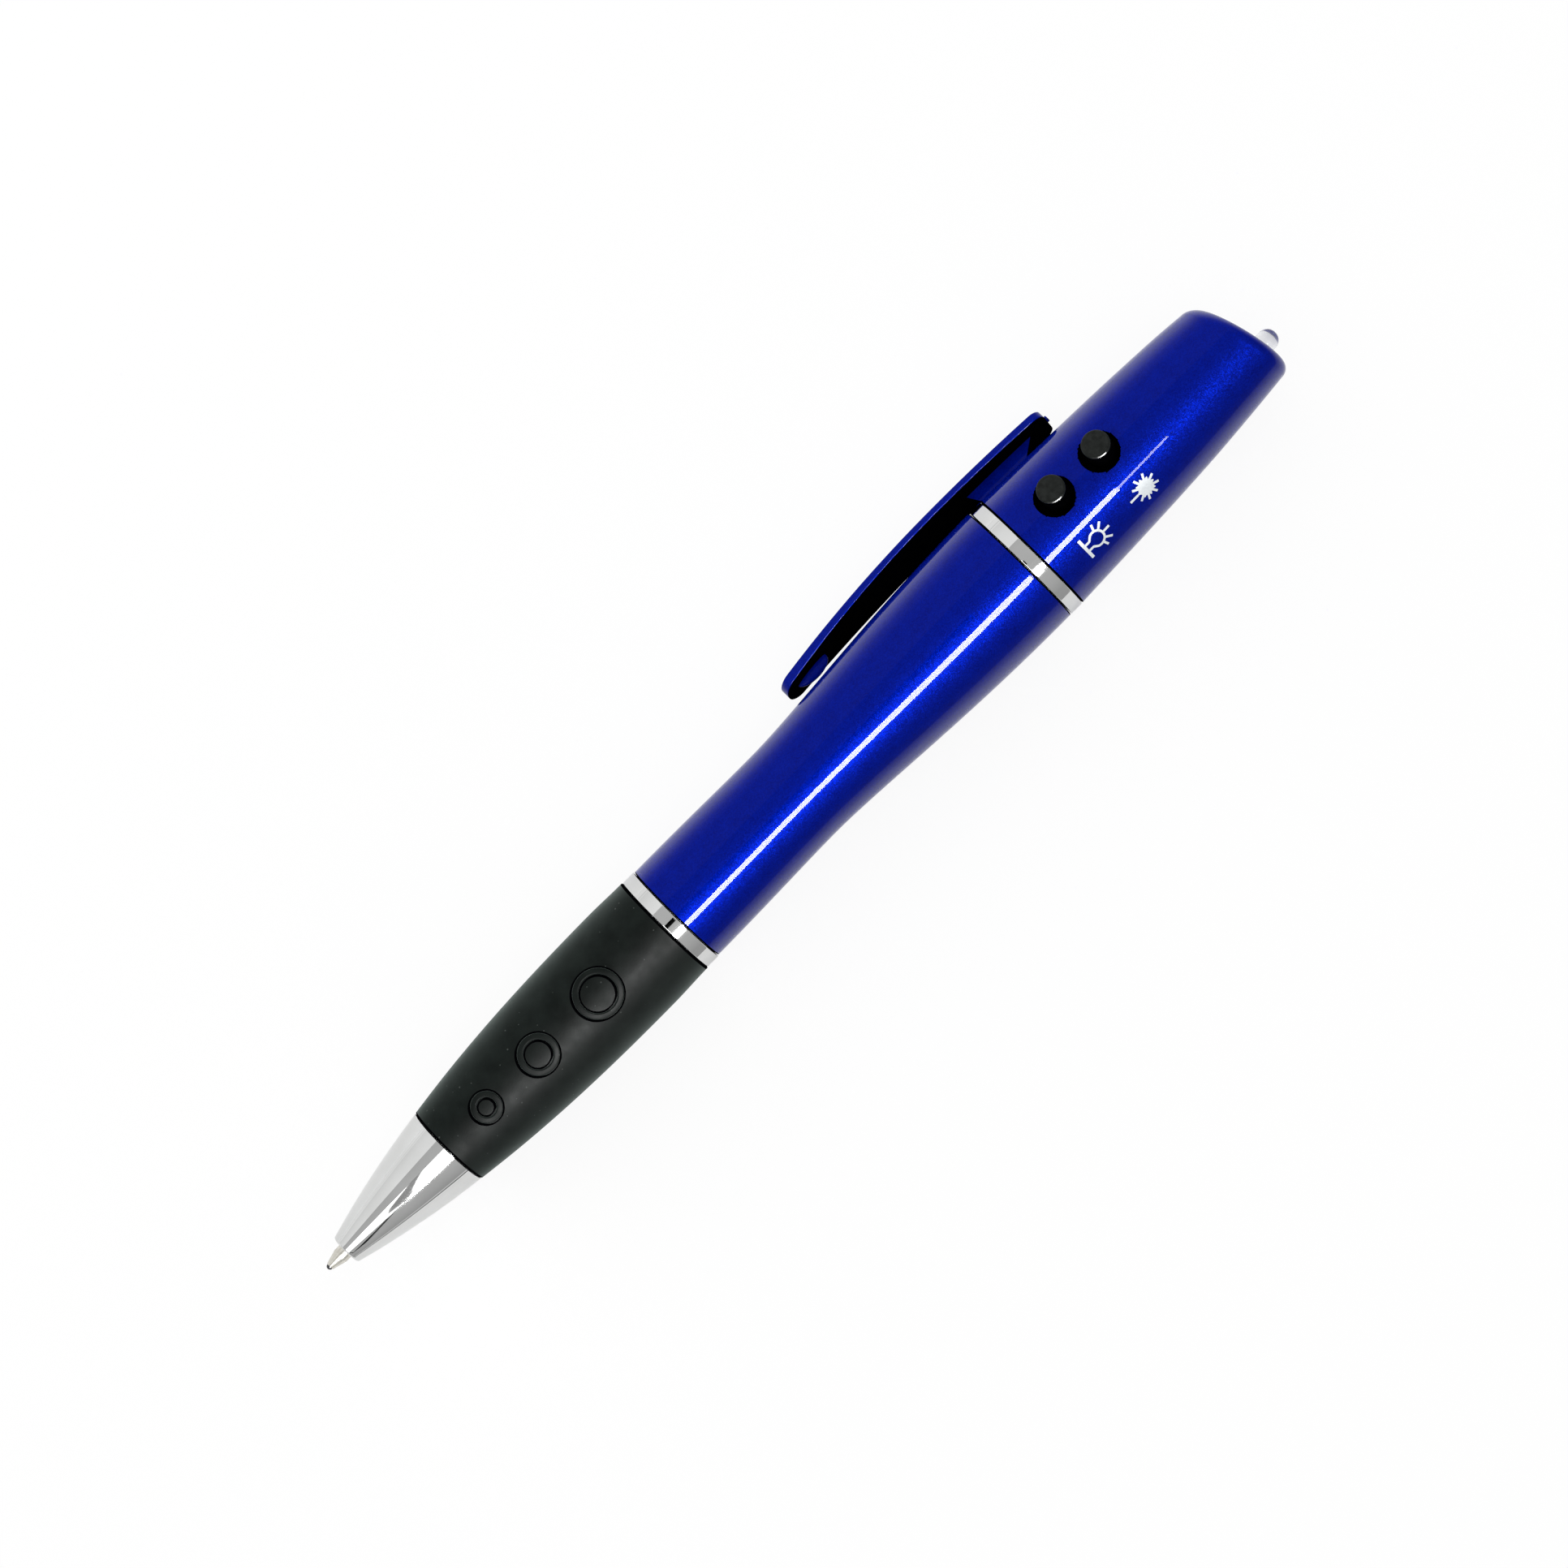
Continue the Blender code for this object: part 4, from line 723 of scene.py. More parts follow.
# %% Nose
NOSE_FRONT = 2.95
NOSE_BACK = 19.2
NOSE_TIP_RADIUS = 1.95
NOSE_BACK_RADIUS = 5.12
NOSE_SLOPES = (0.28, 0.125)
NOSE_EDGE = 0.3
NOSE_BACK_EDGE = (0.05, 0.005)
NOSE_BORE = 1.03
NOSE_BORE_LENGTH = 2.5
SPIGOT_END = 25.2
SPIGOT_RADIUS = 3.7
SPIGOT_BORE = 2.4
nose_side = bend((NOSE_FRONT + NOSE_EDGE, NOSE_TIP_RADIUS),
                 (NOSE_BACK - NOSE_BACK_EDGE[0], NOSE_BACK_RADIUS - NOSE_BACK_EDGE[1]),
                 (1 / 3, 1 / 3), NOSE_SLOPES, 60)
nose = [*front_rounding(NOSE_FRONT, NOSE_TIP_RADIUS, NOSE_EDGE, 6), *nose_side,
        (NOSE_BACK, NOSE_BACK_RADIUS - NOSE_BACK_EDGE[0]), (NOSE_BACK, SPIGOT_RADIUS),
        (SPIGOT_END, SPIGOT_RADIUS), (SPIGOT_END, SPIGOT_BORE), (NOSE_BACK, SPIGOT_BORE),
        (NOSE_FRONT + NOSE_BORE_LENGTH, NOSE_BORE), (NOSE_FRONT, NOSE_BORE)]
seat_turned("chrome_nose", nose, chrome, 192, "lower_section", "chrome_trim", "nose_cone")

# %% [markdown]
# ## Rubber sleeve
# The sleeve swells towards the barrel, and its end edges are painted black, as painted shade in the gaps
# beside its neighbours.
# Three raised rings of growing size stand in a row on it. They are first laid out flat, a circle for each
# ring swept with a rounded section, and then wrapped over the sleeve, so that each ring follows the
# swell. A black band of painted shade runs along both edges of a ring, where little light gets in: the
# same tree makes it, as a wider and much lower band.

# %% Sleeve
GRIP_FRONT = 19.3
GRIP_BACK = 53.6
GRIP_FRONT_RADIUS = 5.16
GRIP_CREST = (48.0, 6.82)
GRIP_BACK_RADIUS = 6.69
GRIP_SLOPES = (0.138, 0.0)
GRIP_FRONT_BORE = 4.64
GRIP_BACK_BORE = 5.57
SLEEVE_EDGE = 0.12
SLEEVE_EDGE_RUN = 1.0
SHADED_EDGE = 0.22
grip_side = [*bend((GRIP_FRONT, GRIP_FRONT_RADIUS), GRIP_CREST, (0.3, 0.4), GRIP_SLOPES, 60),
             *bend(GRIP_CREST, (GRIP_BACK, GRIP_BACK_RADIUS), (0.4, 0.3), steps=16)[1:]]


def on_grip(station):
    return (station, radius_on(grip_side, station))


def beyond(low, high):
    """A test for the faces that lie outside two stations."""
    return lambda face: not low < face.center.x / MM < high


sleeve_front = softened([(GRIP_FRONT, GRIP_FRONT_BORE, 0.0), (*on_grip(GRIP_FRONT), SLEEVE_EDGE),
                         (*on_grip(GRIP_FRONT + SLEEVE_EDGE_RUN), 0.0)])[1:-1]
sleeve_back = softened([(*on_grip(GRIP_BACK - SLEEVE_EDGE_RUN), 0.0), (*on_grip(GRIP_BACK), SLEEVE_EDGE),
                        (GRIP_BACK, GRIP_BACK_BORE, 0.0)])[1:-1]
shaded_ends = (GRIP_FRONT + SHADED_EDGE, GRIP_BACK - SHADED_EDGE)
middle = [knot for knot in grip_side if shaded_ends[0] < knot[0] < shaded_ends[1]]
sleeve = [*sleeve_front, on_grip(shaded_ends[0]), *middle, on_grip(shaded_ends[1]), *sleeve_back,
          (GRIP_BACK, GRIP_BACK_BORE), (GRIP_FRONT, GRIP_FRONT_BORE)]
sleeve_mesh = turned("rubber_sleeve", sleeve, rubber, 192)
# The end edges of the sleeve get painted shade.
repaint(sleeve_mesh, painted_shade, beyond(*shaded_ends))
seated("rubber_sleeve", sleeve_mesh, "lower_section", "grip_rubber", "grip_sleeve")

# %% Node tree for the raised rings
RING_ROUNDING_STEPS = 4


def copies(tree, given, form, setting, reading):
    """Copy a form to every point. The point's third coordinate sets the copy's size or turn."""
    third = axis_of(tree, made(tree, "GeometryNodeInputPosition"), "Z")
    spots = made(tree, "GeometryNodeMeshToPoints", {"Mesh": given["Geometry"]})
    how = {"Points": spots, "Instance": form, setting: reading(third)}
    placed = made(tree, "GeometryNodeInstanceOnPoints", how)
    drop = made(tree, "ShaderNodeCombineXYZ", {2: sums(tree, "MULTIPLY", third, -1.0)})
    level = {"Instances": placed, "Translation": drop, "Local Space": False}
    return made(tree, "GeometryNodeTranslateInstances", level)


def rings_tree():
    tree, given = new_tree("raised_rings", {
        "Width": "Float", "Height": "Float", "Rounding": "Float", "Steps": "Int", "Material": "Material"})
    ring = {"Resolution": given["Steps"], "Radius": 1.0}
    circle = made(tree, "GeometryNodeCurvePrimitiveCircle", ring, mode="RADIUS")
    scaled = copies(tree, given, circle, "Scale", lambda size: size)
    loops = made(tree, "GeometryNodeRealizeInstances", {0: scaled})
    sides = {"Width": given["Width"], "Height": given["Height"]}
    band = made(tree, "GeometryNodeCurvePrimitiveQuadrilateral", sides)
    corner = {"Curve": band, "Radius": given["Rounding"], "Count": RING_ROUNDING_STEPS}
    rounded = made(tree, "GeometryNodeFilletCurve", corner, mode="POLY")
    swept = made(tree, "GeometryNodeCurveToMesh", {"Curve": loops, "Profile Curve": rounded})
    close_tree(tree, swept, given["Material"])
    return tree


RINGS = rings_tree()
print("rings tree has", len(RINGS.nodes), "nodes")

# %% Wrap the rings over the sleeve
RING_SPOTS = ((25.8, 1.46), (34.0, 2.03), (43.4, 2.53))
RING_WIDTH = 0.7
RING_RISE = 0.22
RING_SINK = 0.3
RING_ROUNDING = 0.14
RING_STEPS = 72
RING_ANGLE = math.radians(114.0)
SHADE_BAND = 0.26
SHADE_BAND_SHIFT = -0.07
SHADE_BAND_RISE = 0.012


def raised(height):
    """A move along the drawing's third axis, in millimetres."""
    return Matrix.Translation((0.0, 0.0, height * MM))


def wrapped(mesh, outline, angle):
    """Wrap a flat drawing over the pen: X is the station, Y runs round the pen, Z stands out of it."""
    for vertex in mesh.vertices:
        station, round_pen, rise = vertex.co
        radius = radius_on(outline, station / MM) * MM
        turn = angle + round_pen / radius
        reach = radius + rise
        vertex.co = (station, -reach * math.sin(turn), reach * math.cos(turn))
    face_outwards(mesh)
    return mesh


def ring_row(name, width, rise, rounding, material, side, shift=0.0):
    """One row of three rings on one side of the sleeve."""
    sizes = {"Width": width * MM, "Height": (rise + RING_SINK) * MM, "Rounding": rounding * MM,
             "Steps": RING_STEPS, "Material": material}
    spots = [((station + shift) * MM, 0.0, radius * MM) for station, radius in RING_SPOTS]
    flat = grow(name, RINGS, spots, sizes)
    flat.transform(raised((rise - RING_SINK) / 2))
    seated(name, wrapped(flat, grip_side, RING_ANGLE + side), "lower_section", "grip_rubber", "grip_sleeve")


for column, side in enumerate((0.0, math.pi), 1):
    ring_row(f"rubber_rings_{column}", RING_WIDTH, RING_RISE, RING_ROUNDING, rubber, side)
    # Each ring also gets a wider, very low black band along both edges: painted shade.
    ring_row(f"ring_painted_shade_{column}", RING_WIDTH + 2 * SHADE_BAND, SHADE_BAND_RISE, SHADE_BAND_RISE, painted_shade, side,
             SHADE_BAND_SHIFT)

# %% [markdown]
# ## Trim rings
# Two narrow chromed rings finish the joints of the barrel. Their edges are broken only slightly, so the
# rings look crisp.

# %% Trim rings
TRIM_WIDTH = 1.65
TRIM_EDGE = 0.12
UPPER_BORE = 5.33


def trim_ring(name, body, node, front, radius, bore):
    back = front + TRIM_WIDTH
    outline = softened([
        (front, bore, 0.0), (front, radius, TRIM_EDGE), (back, radius, TRIM_EDGE), (back, bore, 0.0)])
    seat_turned(name, outline, chrome, 192, body, "chrome_trim", node)


trim_ring("chrome_lower_ring", "lower_section", "lower_trim_ring", front=53.7, radius=6.62, bore=5.2)
trim_ring("chrome_upper_ring", "upper_ring", "upper_trim_ring", front=109.9, radius=7.97, bore=UPPER_BORE)

# %% [markdown]
# ## Barrel
# The barrel is waisted: it narrows behind the lower ring and swells to the head. Two smooth curves that
# meet at the waist make its outline. The edges beside the trim rings are painted black as shade.

# %% Barrel
BARREL_FRONT = 55.45
BARREL_BACK = 109.8
BARREL_FRONT_RADIUS = 6.53
WAIST = (74.0, 6.32)
BARREL_BACK_RADIUS = 7.96
BARREL_BORE = 5.22
HOLDER_SEAT = 96.13
SHELL_EDGE = 0.15
SHELL_EDGE_STEPS = 5
barrel_start = BARREL_FRONT + SHELL_EDGE
barrel_end = BARREL_BACK - SHELL_EDGE
barrel_outline = [
    *front_rounding(BARREL_FRONT, BARREL_FRONT_RADIUS, SHELL_EDGE, SHELL_EDGE_STEPS),
    *bend((barrel_start, BARREL_FRONT_RADIUS), WAIST, (0.5, 0.3), steps=40),
    *bend(WAIST, (barrel_end, BARREL_BACK_RADIUS), (0.2, 0.45), steps=70)[1:],
    *back_rounding(barrel_end, BARREL_BACK_RADIUS, SHELL_EDGE, SHELL_EDGE, SHELL_EDGE_STEPS),
    (BARREL_BACK, UPPER_BORE), (HOLDER_SEAT, UPPER_BORE), (HOLDER_SEAT, BARREL_BORE),
    (BARREL_FRONT, BARREL_BORE)]
barrel_mesh = turned("blue_barrel", barrel_outline, lacquer, 192)
# The end edges of the barrel get painted shade.
repaint(barrel_mesh, painted_shade, beyond(barrel_start, barrel_end))
seated("blue_barrel", barrel_mesh, "barrel", "blue_lacquer", "barrel")

# %% [markdown]
# ## Head
# The head is turned like the barrel, and then its end is sheared to the slant. Two wells for the buttons,
# a slot for the clip's foot, a bore for the lamp and an opening for the laser are cut through it with
# Boolean modifiers. The walls of the wells and the front edge are painted black as shade.

# %% Head outline
HEAD_FRONT = 111.65
HEAD_FRONT_RADIUS = 7.96
HEAD_END_RADIUS = 6.4
HEAD_BORE = ((114.45, 6.13), (143.25, 5.3))
FRONT_SLOPE = -0.03
END_SLOPE = -0.1
ROUND_START = 143.35
ROUND_STEPS = 16
END_FACE_RADIUS = 4.86
END_LENGTH = 1.6
END_DOME = 0.3
DOME_STEPS = 12
END_SLANT = math.tan(math.radians(13.9))
SLANT_RUN = 10.0
head_start = HEAD_FRONT + SHELL_EDGE
end_face = ROUND_START + END_LENGTH
head_side = bend((head_start, HEAD_FRONT_RADIUS), (ROUND_START, HEAD_END_RADIUS), (1 / 3, 1 / 3),
                 (FRONT_SLOPE, END_SLOPE), 90)
end_dome = [(end_face + END_DOME * (1.0 - share ** 2), END_FACE_RADIUS * share)
            for share in (1.0 - step / DOME_STEPS for step in range(1, DOME_STEPS + 1))]
head_outline = [
    (HEAD_BORE[1][0], 0.0), HEAD_BORE[1], HEAD_BORE[0], (HEAD_FRONT, HEAD_BORE[0][1]),
    *front_rounding(HEAD_FRONT, HEAD_FRONT_RADIUS, SHELL_EDGE, SHELL_EDGE_STEPS), *head_side,
    *back_rounding(ROUND_START, HEAD_END_RADIUS, END_LENGTH, HEAD_END_RADIUS - END_FACE_RADIUS, ROUND_STEPS),
    *end_dome]
print("head outline has", len(head_outline), "points")


def lean(mesh):
    """Slant the end of the head so that it falls away on the clip's side."""
    for vertex in mesh.vertices:
        station, across, height = vertex.co / MM
        share = min(max((station - ROUND_START + SLANT_RUN) / SLANT_RUN, 0.0), 1.0)
        shift = -END_SLANT * height * share * share * (3.0 - 2.0 * share)
        narrowing = 1.0 + END_SLOPE * shift / HEAD_END_RADIUS
        vertex.co = Vector((station + shift, across * narrowing, height * narrowing)) * MM


# %% Tools for cutting
def round_bar(name, run, radius, sides=96):
    low, high = run
    return turned(name, [(low, 0.0), (low, radius), (high, radius), (high, 0.0)], lacquer, sides)


def across_pen(station, angle):
    """A frame whose X axis points out of the pen at a station."""
    outward = Vector((0.0, -math.sin(angle), math.cos(angle)))
    along = Vector((1.0, 0.0, 0.0))
    place = Matrix((outward, along.cross(outward), along)).transposed().to_4x4()
    place.translation = (station * MM, 0.0, 0.0)
    return place


def carve(piece, cutter_mesh, place=None, operation="DIFFERENCE"):
    if place:
        cutter_mesh.transform(place)
    cutter = put_in_scene("cutter", cutter_mesh)
    change = piece.modifiers.new("carve", "BOOLEAN")
    change.operation = operation
    change.object = cutter
    change.solver = "EXACT"
    apply_modifiers(piece)
    bpy.data.objects.remove(cutter)


def box_mesh(name, *spans):
    """A box from its low and high end along each axis."""
    shape = bmesh.new()
    bmesh.ops.create_cube(shape, size=1.0)
    for vertex in shape.verts:
        for side, (low, high) in enumerate(spans):
            vertex.co[side] = (high if vertex.co[side] > 0.0 else low) * MM
    return mesh_from(name, shape)


def lift_off(piece):
    """Keep the mesh of a workpiece and clear the workpiece away."""
    mesh = piece.data
    bpy.data.objects.remove(piece)
    return mesh


# %% Cut the head
BUTTON_ANGLE = math.radians(94.0)
BUTTON_STATIONS = (117.75, 124.68)
WELL_RADIUS = 2.4
WELL_SHIFT = -0.2
WELL_ANGLE = BUTTON_ANGLE + math.radians(0.8)
WELL_MARGIN = 1.01
CUT_HEIGHTS = (3.0, 12.0)
BORE_RUN = (141.0, 151.0)
LAMP_OFFSET = -2.4
LAMP_BORE = 1.34
LASER_OFFSET = 2.025
LASER_BORE = 1.2
SLOT_RUN = (112.7, 118.0)
SLOT_HALF = 0.58
head_mesh = turned("blue_head", head_outline, lacquer, 224)
lean(head_mesh)
head_piece = put_in_scene("head_blank", head_mesh)
wells = [across_pen(station + WELL_SHIFT, WELL_ANGLE) for station in BUTTON_STATIONS]
for well in wells:
    carve(head_piece, round_bar("well", CUT_HEIGHTS, WELL_RADIUS), well)
carve(head_piece, round_bar("lamp_bore", BORE_RUN, LAMP_BORE, 64), raised(LAMP_OFFSET))
carve(head_piece, round_bar("laser_bore", BORE_RUN, LASER_BORE, 64), raised(LASER_OFFSET))
carve(head_piece, box_mesh("slot", SLOT_RUN, (-SLOT_HALF, SLOT_HALF), CUT_HEIGHTS))
head_mesh = lift_off(head_piece)
outside_to_wells = [well.inverted() for well in wells]


def in_painted_shade(face):
    spots = [outside_to_well @ face.center for outside_to_well in outside_to_wells]
    in_a_well = any(spot.x > 0.0 and spot.yz.length < WELL_MARGIN * WELL_RADIUS * MM for spot in spots)
    return in_a_well or face.center.x / MM < head_start


# The walls of the wells and the front edge of the head get painted shade.
repaint(head_mesh, painted_shade, in_painted_shade)
seated("blue_head", head_mesh, "head", "blue_lacquer", "head_shell")

# %% [markdown]
# ## Clip
# The clip is moulded in one piece: a thin arched bar that tapers to a rounded free end, a thin domed fin
# inside that end, a narrow web that stands on the head, and a tiny nub at the upper end. Its sections
# are lofted along the arch, and the other forms are joined to it with Boolean unions. The inner face of
# the bar and the slanted ends of the web are painted black as shade.

# %% Clip
CLIP_LOW = 81.25
CLIP_HIGH = 123.4
CLIP_CROWN = 106.0
CLIP_RADIUS = 10.9
CLIP_DROP = (1.2, 0.38)
CLIP_THICKNESS = 0.79
CLIP_SWELL = (0.38, 0.13)
CLIP_HALF_WIDTH = 3.43
CLIP_TAPER = (1.5, 0.55)
CLIP_CORNER = (1.7, 1.2)
CLIP_CORNER_STEPS = 14
CLIP_STEPS = 62
CLIP_EDGE = 0.14


def clip_at(station):
    """Height of the inner face, height of the outer face, and half the width."""
    upper = int(station >= CLIP_CROWN)
    end = (CLIP_LOW, CLIP_HIGH)[upper]
    share = ((station - CLIP_CROWN) / (end - CLIP_CROWN)) ** 2
    outside = CLIP_RADIUS - share * CLIP_DROP[upper]
    inside = outside - CLIP_THICKNESS - share * CLIP_SWELL[upper]
    corner = CLIP_CORNER[upper]
    short = max(corner - abs(end - station), 0.0)
    rounding = math.sqrt(max(corner ** 2 - short ** 2, 0.0))
    return inside, outside, CLIP_HALF_WIDTH - share * CLIP_TAPER[upper] - corner + rounding


def clip_inside(station):
    return clip_at(station)[0]


def clip_section(station):
    low, high, half = clip_at(station)
    corners = ((half, low), (half, high), (-half, high), (-half, low))
    section = softened([(*corner, CLIP_EDGE) for corner in corners], 4)
    return [(station * MM, across * MM, height * MM) for across, height in section]


def bridge(shape, loops):
    """Join each loop of points to the next with faces."""
    for near, far in zip(loops, loops[1:]):
        for index in range(len(near)):
            after = (index + 1) % len(near)
            shape.faces.new((near[index], near[after], far[after], far[index]))


def lofted(name, rings, material):
    shape = bmesh.new()
    loops = [[shape.verts.new(point) for point in ring] for ring in rings]
    shape.faces.new(loops[0])
    shape.faces.new(loops[-1])
    bridge(shape, loops)
    bmesh.ops.recalc_face_normals(shape, faces=shape.faces)
    return mesh_from(name, shape, material)


corner_turns = [math.pi / 2 * step / CLIP_CORNER_STEPS for step in range(CLIP_CORNER_STEPS + 1)]
clip_stations = [*(CLIP_LOW + CLIP_CORNER[0] * (1.0 - math.cos(turn)) for turn in corner_turns),
                 *np.linspace(CLIP_LOW + CLIP_CORNER[0], CLIP_HIGH - CLIP_CORNER[1], CLIP_STEPS)[1:-1],
                 *(CLIP_HIGH - CLIP_CORNER[1] * (1.0 - math.cos(turn)) for turn in reversed(corner_turns))]
clip_mesh = lofted("blue_clip", [clip_section(station) for station in clip_stations], lacquer)
print("clip has", len(clip_stations), "sections")

# %% Fin, nub and web of the clip
FIN_STATION = CLIP_LOW + 3.95
FIN_SIZE = (1.15, 0.5, 2.35)
FIN_ROOT = -0.4
FIN_STEPS = 12
NUB_RADIUS = 0.4
NUB_REACH = 0.3
NUB_ROOT = CLIP_HIGH - 0.4
NUB_EDGE = 0.12
WEB_HALF = 0.5
WEB_FOOT = 112.15
WEB_HEEL = 118.55
WEB_SEAT = 8.04
WEB_FLARE = (1.3, 2.8)
WEB_ROOT = 0.4
TONGUE_INSET = 0.8
TONGUE_DEPTH = 1.4
clip_piece = put_in_scene("clip_blank", clip_mesh)
fin_outline = [(FIN_ROOT, 0.0), (FIN_ROOT, 1.0), (0.0, 1.0), *back_rounding(0.0, 1.0, 1.0, 1.0, FIN_STEPS)]
fin = turned("fin", fin_outline, lacquer, 64)
fin.transform(Matrix.Diagonal((*FIN_SIZE, 1.0)))
carve(clip_piece, fin, raised(clip_inside(FIN_STATION)) @ across_pen(FIN_STATION, math.pi), "UNION")
nub_outline = softened([(NUB_ROOT, 0.0, 0.0), (NUB_ROOT, NUB_RADIUS, 0.0),
                        (CLIP_HIGH + NUB_REACH, NUB_RADIUS, NUB_EDGE), (CLIP_HIGH + NUB_REACH, 0.0, 0.0)])
nub_height = sum(clip_at(CLIP_HIGH)[:2]) / 2
carve(clip_piece, turned("nub", nub_outline, lacquer, 32), raised(nub_height), "UNION")
web_low = WEB_FOOT - WEB_FLARE[0]
web_high = WEB_HEEL + WEB_FLARE[1]
tongue_low = WEB_FOOT + TONGUE_INSET
tongue_high = WEB_HEEL - TONGUE_INSET
tongue_foot = WEB_SEAT - TONGUE_DEPTH
web = [(web_low, clip_inside(web_low) + WEB_ROOT), (WEB_FOOT, WEB_SEAT), (tongue_low, WEB_SEAT),
       (tongue_low, tongue_foot), (tongue_high, tongue_foot), (tongue_high, WEB_SEAT),
       (WEB_HEEL, WEB_SEAT), (web_high, clip_inside(web_high) + WEB_ROOT)]
web_rings = [[(station * MM, side * MM, height * MM) for station, height in web]
             for side in (-WEB_HALF, WEB_HALF)]
carve(clip_piece, lofted("web", web_rings, lacquer), operation="UNION")
clip_mesh = lift_off(clip_piece)

# %% Inner side of the clip
STEEP = 0.9
SLANTED = 0.3
INNER_SKIN = 0.06


def in_clip_shade(face):
    """Faces on the inner side of the bar, and the slanted ends of the web: these get painted shade."""
    height = face.center.z / MM - clip_inside(face.center.x / MM)
    on_bar = face.normal.z < -STEEP and abs(height) < INNER_SKIN
    on_web = abs(face.center.y) < WEB_HALF * MM and face.center.x > CLIP_CROWN * MM
    return on_bar or on_web and abs(face.normal.x) > SLANTED and face.normal.z < -SLANTED


# The inner side of the clip gets painted shade.
repaint(clip_mesh, painted_shade, in_clip_shade)
seated("blue_clip", clip_mesh, "clip", "blue_lacquer", "clip")

# %% [markdown]
# ## Push buttons
# Each button is a small black cap that stands in its well. A wide flange under the shell keeps it in, and
# a post below works the switch. The cap's edge is chamfered so that it catches a soft line of light, and
# its sides are painted black as the shade of the well.

# %% Buttons
BUTTON_RADIUS = 1.67
BUTTON_HEIGHT = 2.2
BUTTON_CHAMFER = (0.14, 0.21)
BUTTON_GLOSS_LINE = 0.1
FLANGE_RADIUS = 2.52
FLANGE_THICKNESS = 0.6
FLANGE_EDGE = 0.08
FLANGE_ROOM = 2.6
FLANGE_GAP = 0.1
POST_RADIUS = 1.1
POST_LENGTH = 0.5
for kind, station in zip(("lamp", "laser"), BUTTON_STATIONS):
    flange_top = math.sqrt(radius_on(HEAD_BORE, station) ** 2 - FLANGE_ROOM ** 2) - FLANGE_GAP
    flange_foot = flange_top - FLANGE_THICKNESS
    post_foot = flange_foot - POST_LENGTH
    top = radius_on(head_side, station) + BUTTON_HEIGHT
    shoulder = top - BUTTON_CHAMFER[0]
    outline = softened([
        (post_foot, 0.0, 0.0), (post_foot, POST_RADIUS, 0.05), (flange_foot, POST_RADIUS, 0.0),
        (flange_foot, FLANGE_RADIUS, FLANGE_EDGE), (flange_top, FLANGE_RADIUS, FLANGE_EDGE),
        (flange_top, BUTTON_RADIUS, 0.0), (shoulder, BUTTON_RADIUS, 0.06),
        (top, BUTTON_RADIUS - BUTTON_CHAMFER[1], 0.07), (top, 0.0, 0.0)], 8)
    name = f"{kind}_key"
    mesh = turned(name, outline, button_black, 96)
    # The sides of the cap below its chamfer get painted shade.
    repaint(mesh, painted_shade, lambda face: face.center.x < (shoulder - BUTTON_GLOSS_LINE) * MM)
    mesh.transform(across_pen(station, BUTTON_ANGLE))
    seated(name, mesh, f"{kind}_button", "black_plastic", f"{kind}_button")

# %% [markdown]
# ## Lamp
# The lamp is a clear light-emitting diode with a lens about 2.5 mm across: a resin dome on a small
# flange, with the metal cup of its lead frame inside. The resin is a refracting shader, so the white
# table shines through it.

# %% Lamp
LAMP_BACK = 141.77
LAMP_TIP = 147.85
LAMP_RADIUS = 1.26
LAMP_FLANGE_END = LAMP_BACK + 1.0
LAMP_FLANGE_RADIUS = 1.9
# Corners of the cup: station, radius, size of the rounding.
CUP_CORNERS = ((143.0, 0.0, 0.0), (143.0, 0.3, 0.03), (143.9, 0.3, 0.0), (144.1, 0.75, 0.05),
               (144.7, 0.9, 0.04), (144.7, 0.8, 0.04), (144.3, 0.35, 0.0), (144.3, 0.0, 0.0))
dome_start = LAMP_TIP - LAMP_RADIUS
lamp_outline = [
    (LAMP_BACK, 0.0), (LAMP_BACK, LAMP_FLANGE_RADIUS), (LAMP_FLANGE_END, LAMP_FLANGE_RADIUS),
    (LAMP_FLANGE_END, LAMP_RADIUS), (dome_start, LAMP_RADIUS),
    *back_rounding(dome_start, LAMP_RADIUS, LAMP_RADIUS, LAMP_RADIUS, 16)]
for name, outline, finish, sides, slot in (("lamp_dome", lamp_outline, lamp_resin, 96, "lamp_resin"),
                                           ("lamp_cup", softened(CUP_CORNERS), steel, 48, "steel")):
    mesh = turned(name, outline, finish, sides)
    mesh.transform(raised(LAMP_OFFSET))
    seated(name, mesh, "head", slot, "lamp_led")

# %% [markdown]
# ## Printed signs
# Beside each button a small white sign is printed: a bulb for the lamp, a burst for the laser. Both are
# drawn flat as strokes and then wrapped over the head like the rings of the grip. The rays of a sign
# repeat round its middle, so a node tree copies one stroke to all of them.

# %% Node tree for rays
def rays_tree():
    tree, given = new_tree("sign_rays", {
        "Inner": "Float", "Outer": "Float", "Stroke": "Float", "Material": "Material"})
    length = sums(tree, "SUBTRACT", given["Outer"], given["Inner"])
    sizes = {"Size X": length, "Size Y": given["Stroke"], "Vertices X": 6, "Vertices Y": 3}
    bar = add_node(tree, "GeometryNodeMeshGrid", sizes).outputs["Mesh"]
    reach = sums(tree, "MULTIPLY", sums(tree, "ADD", given["Outer"], given["Inner"]), 0.5)
    shift = made(tree, "ShaderNodeCombineXYZ", {0: reach})
    ray = made(tree, "GeometryNodeTransform", {"Geometry": bar, "Translation": shift})
    rays = copies(tree, given, ray, "Rotation", lambda turn: made(tree, "ShaderNodeCombineXYZ", {2: turn}))
    close_tree(tree, rays, given["Material"])
    return tree


RAYS = rays_tree()
print("rays tree has", len(RAYS.nodes), "nodes")

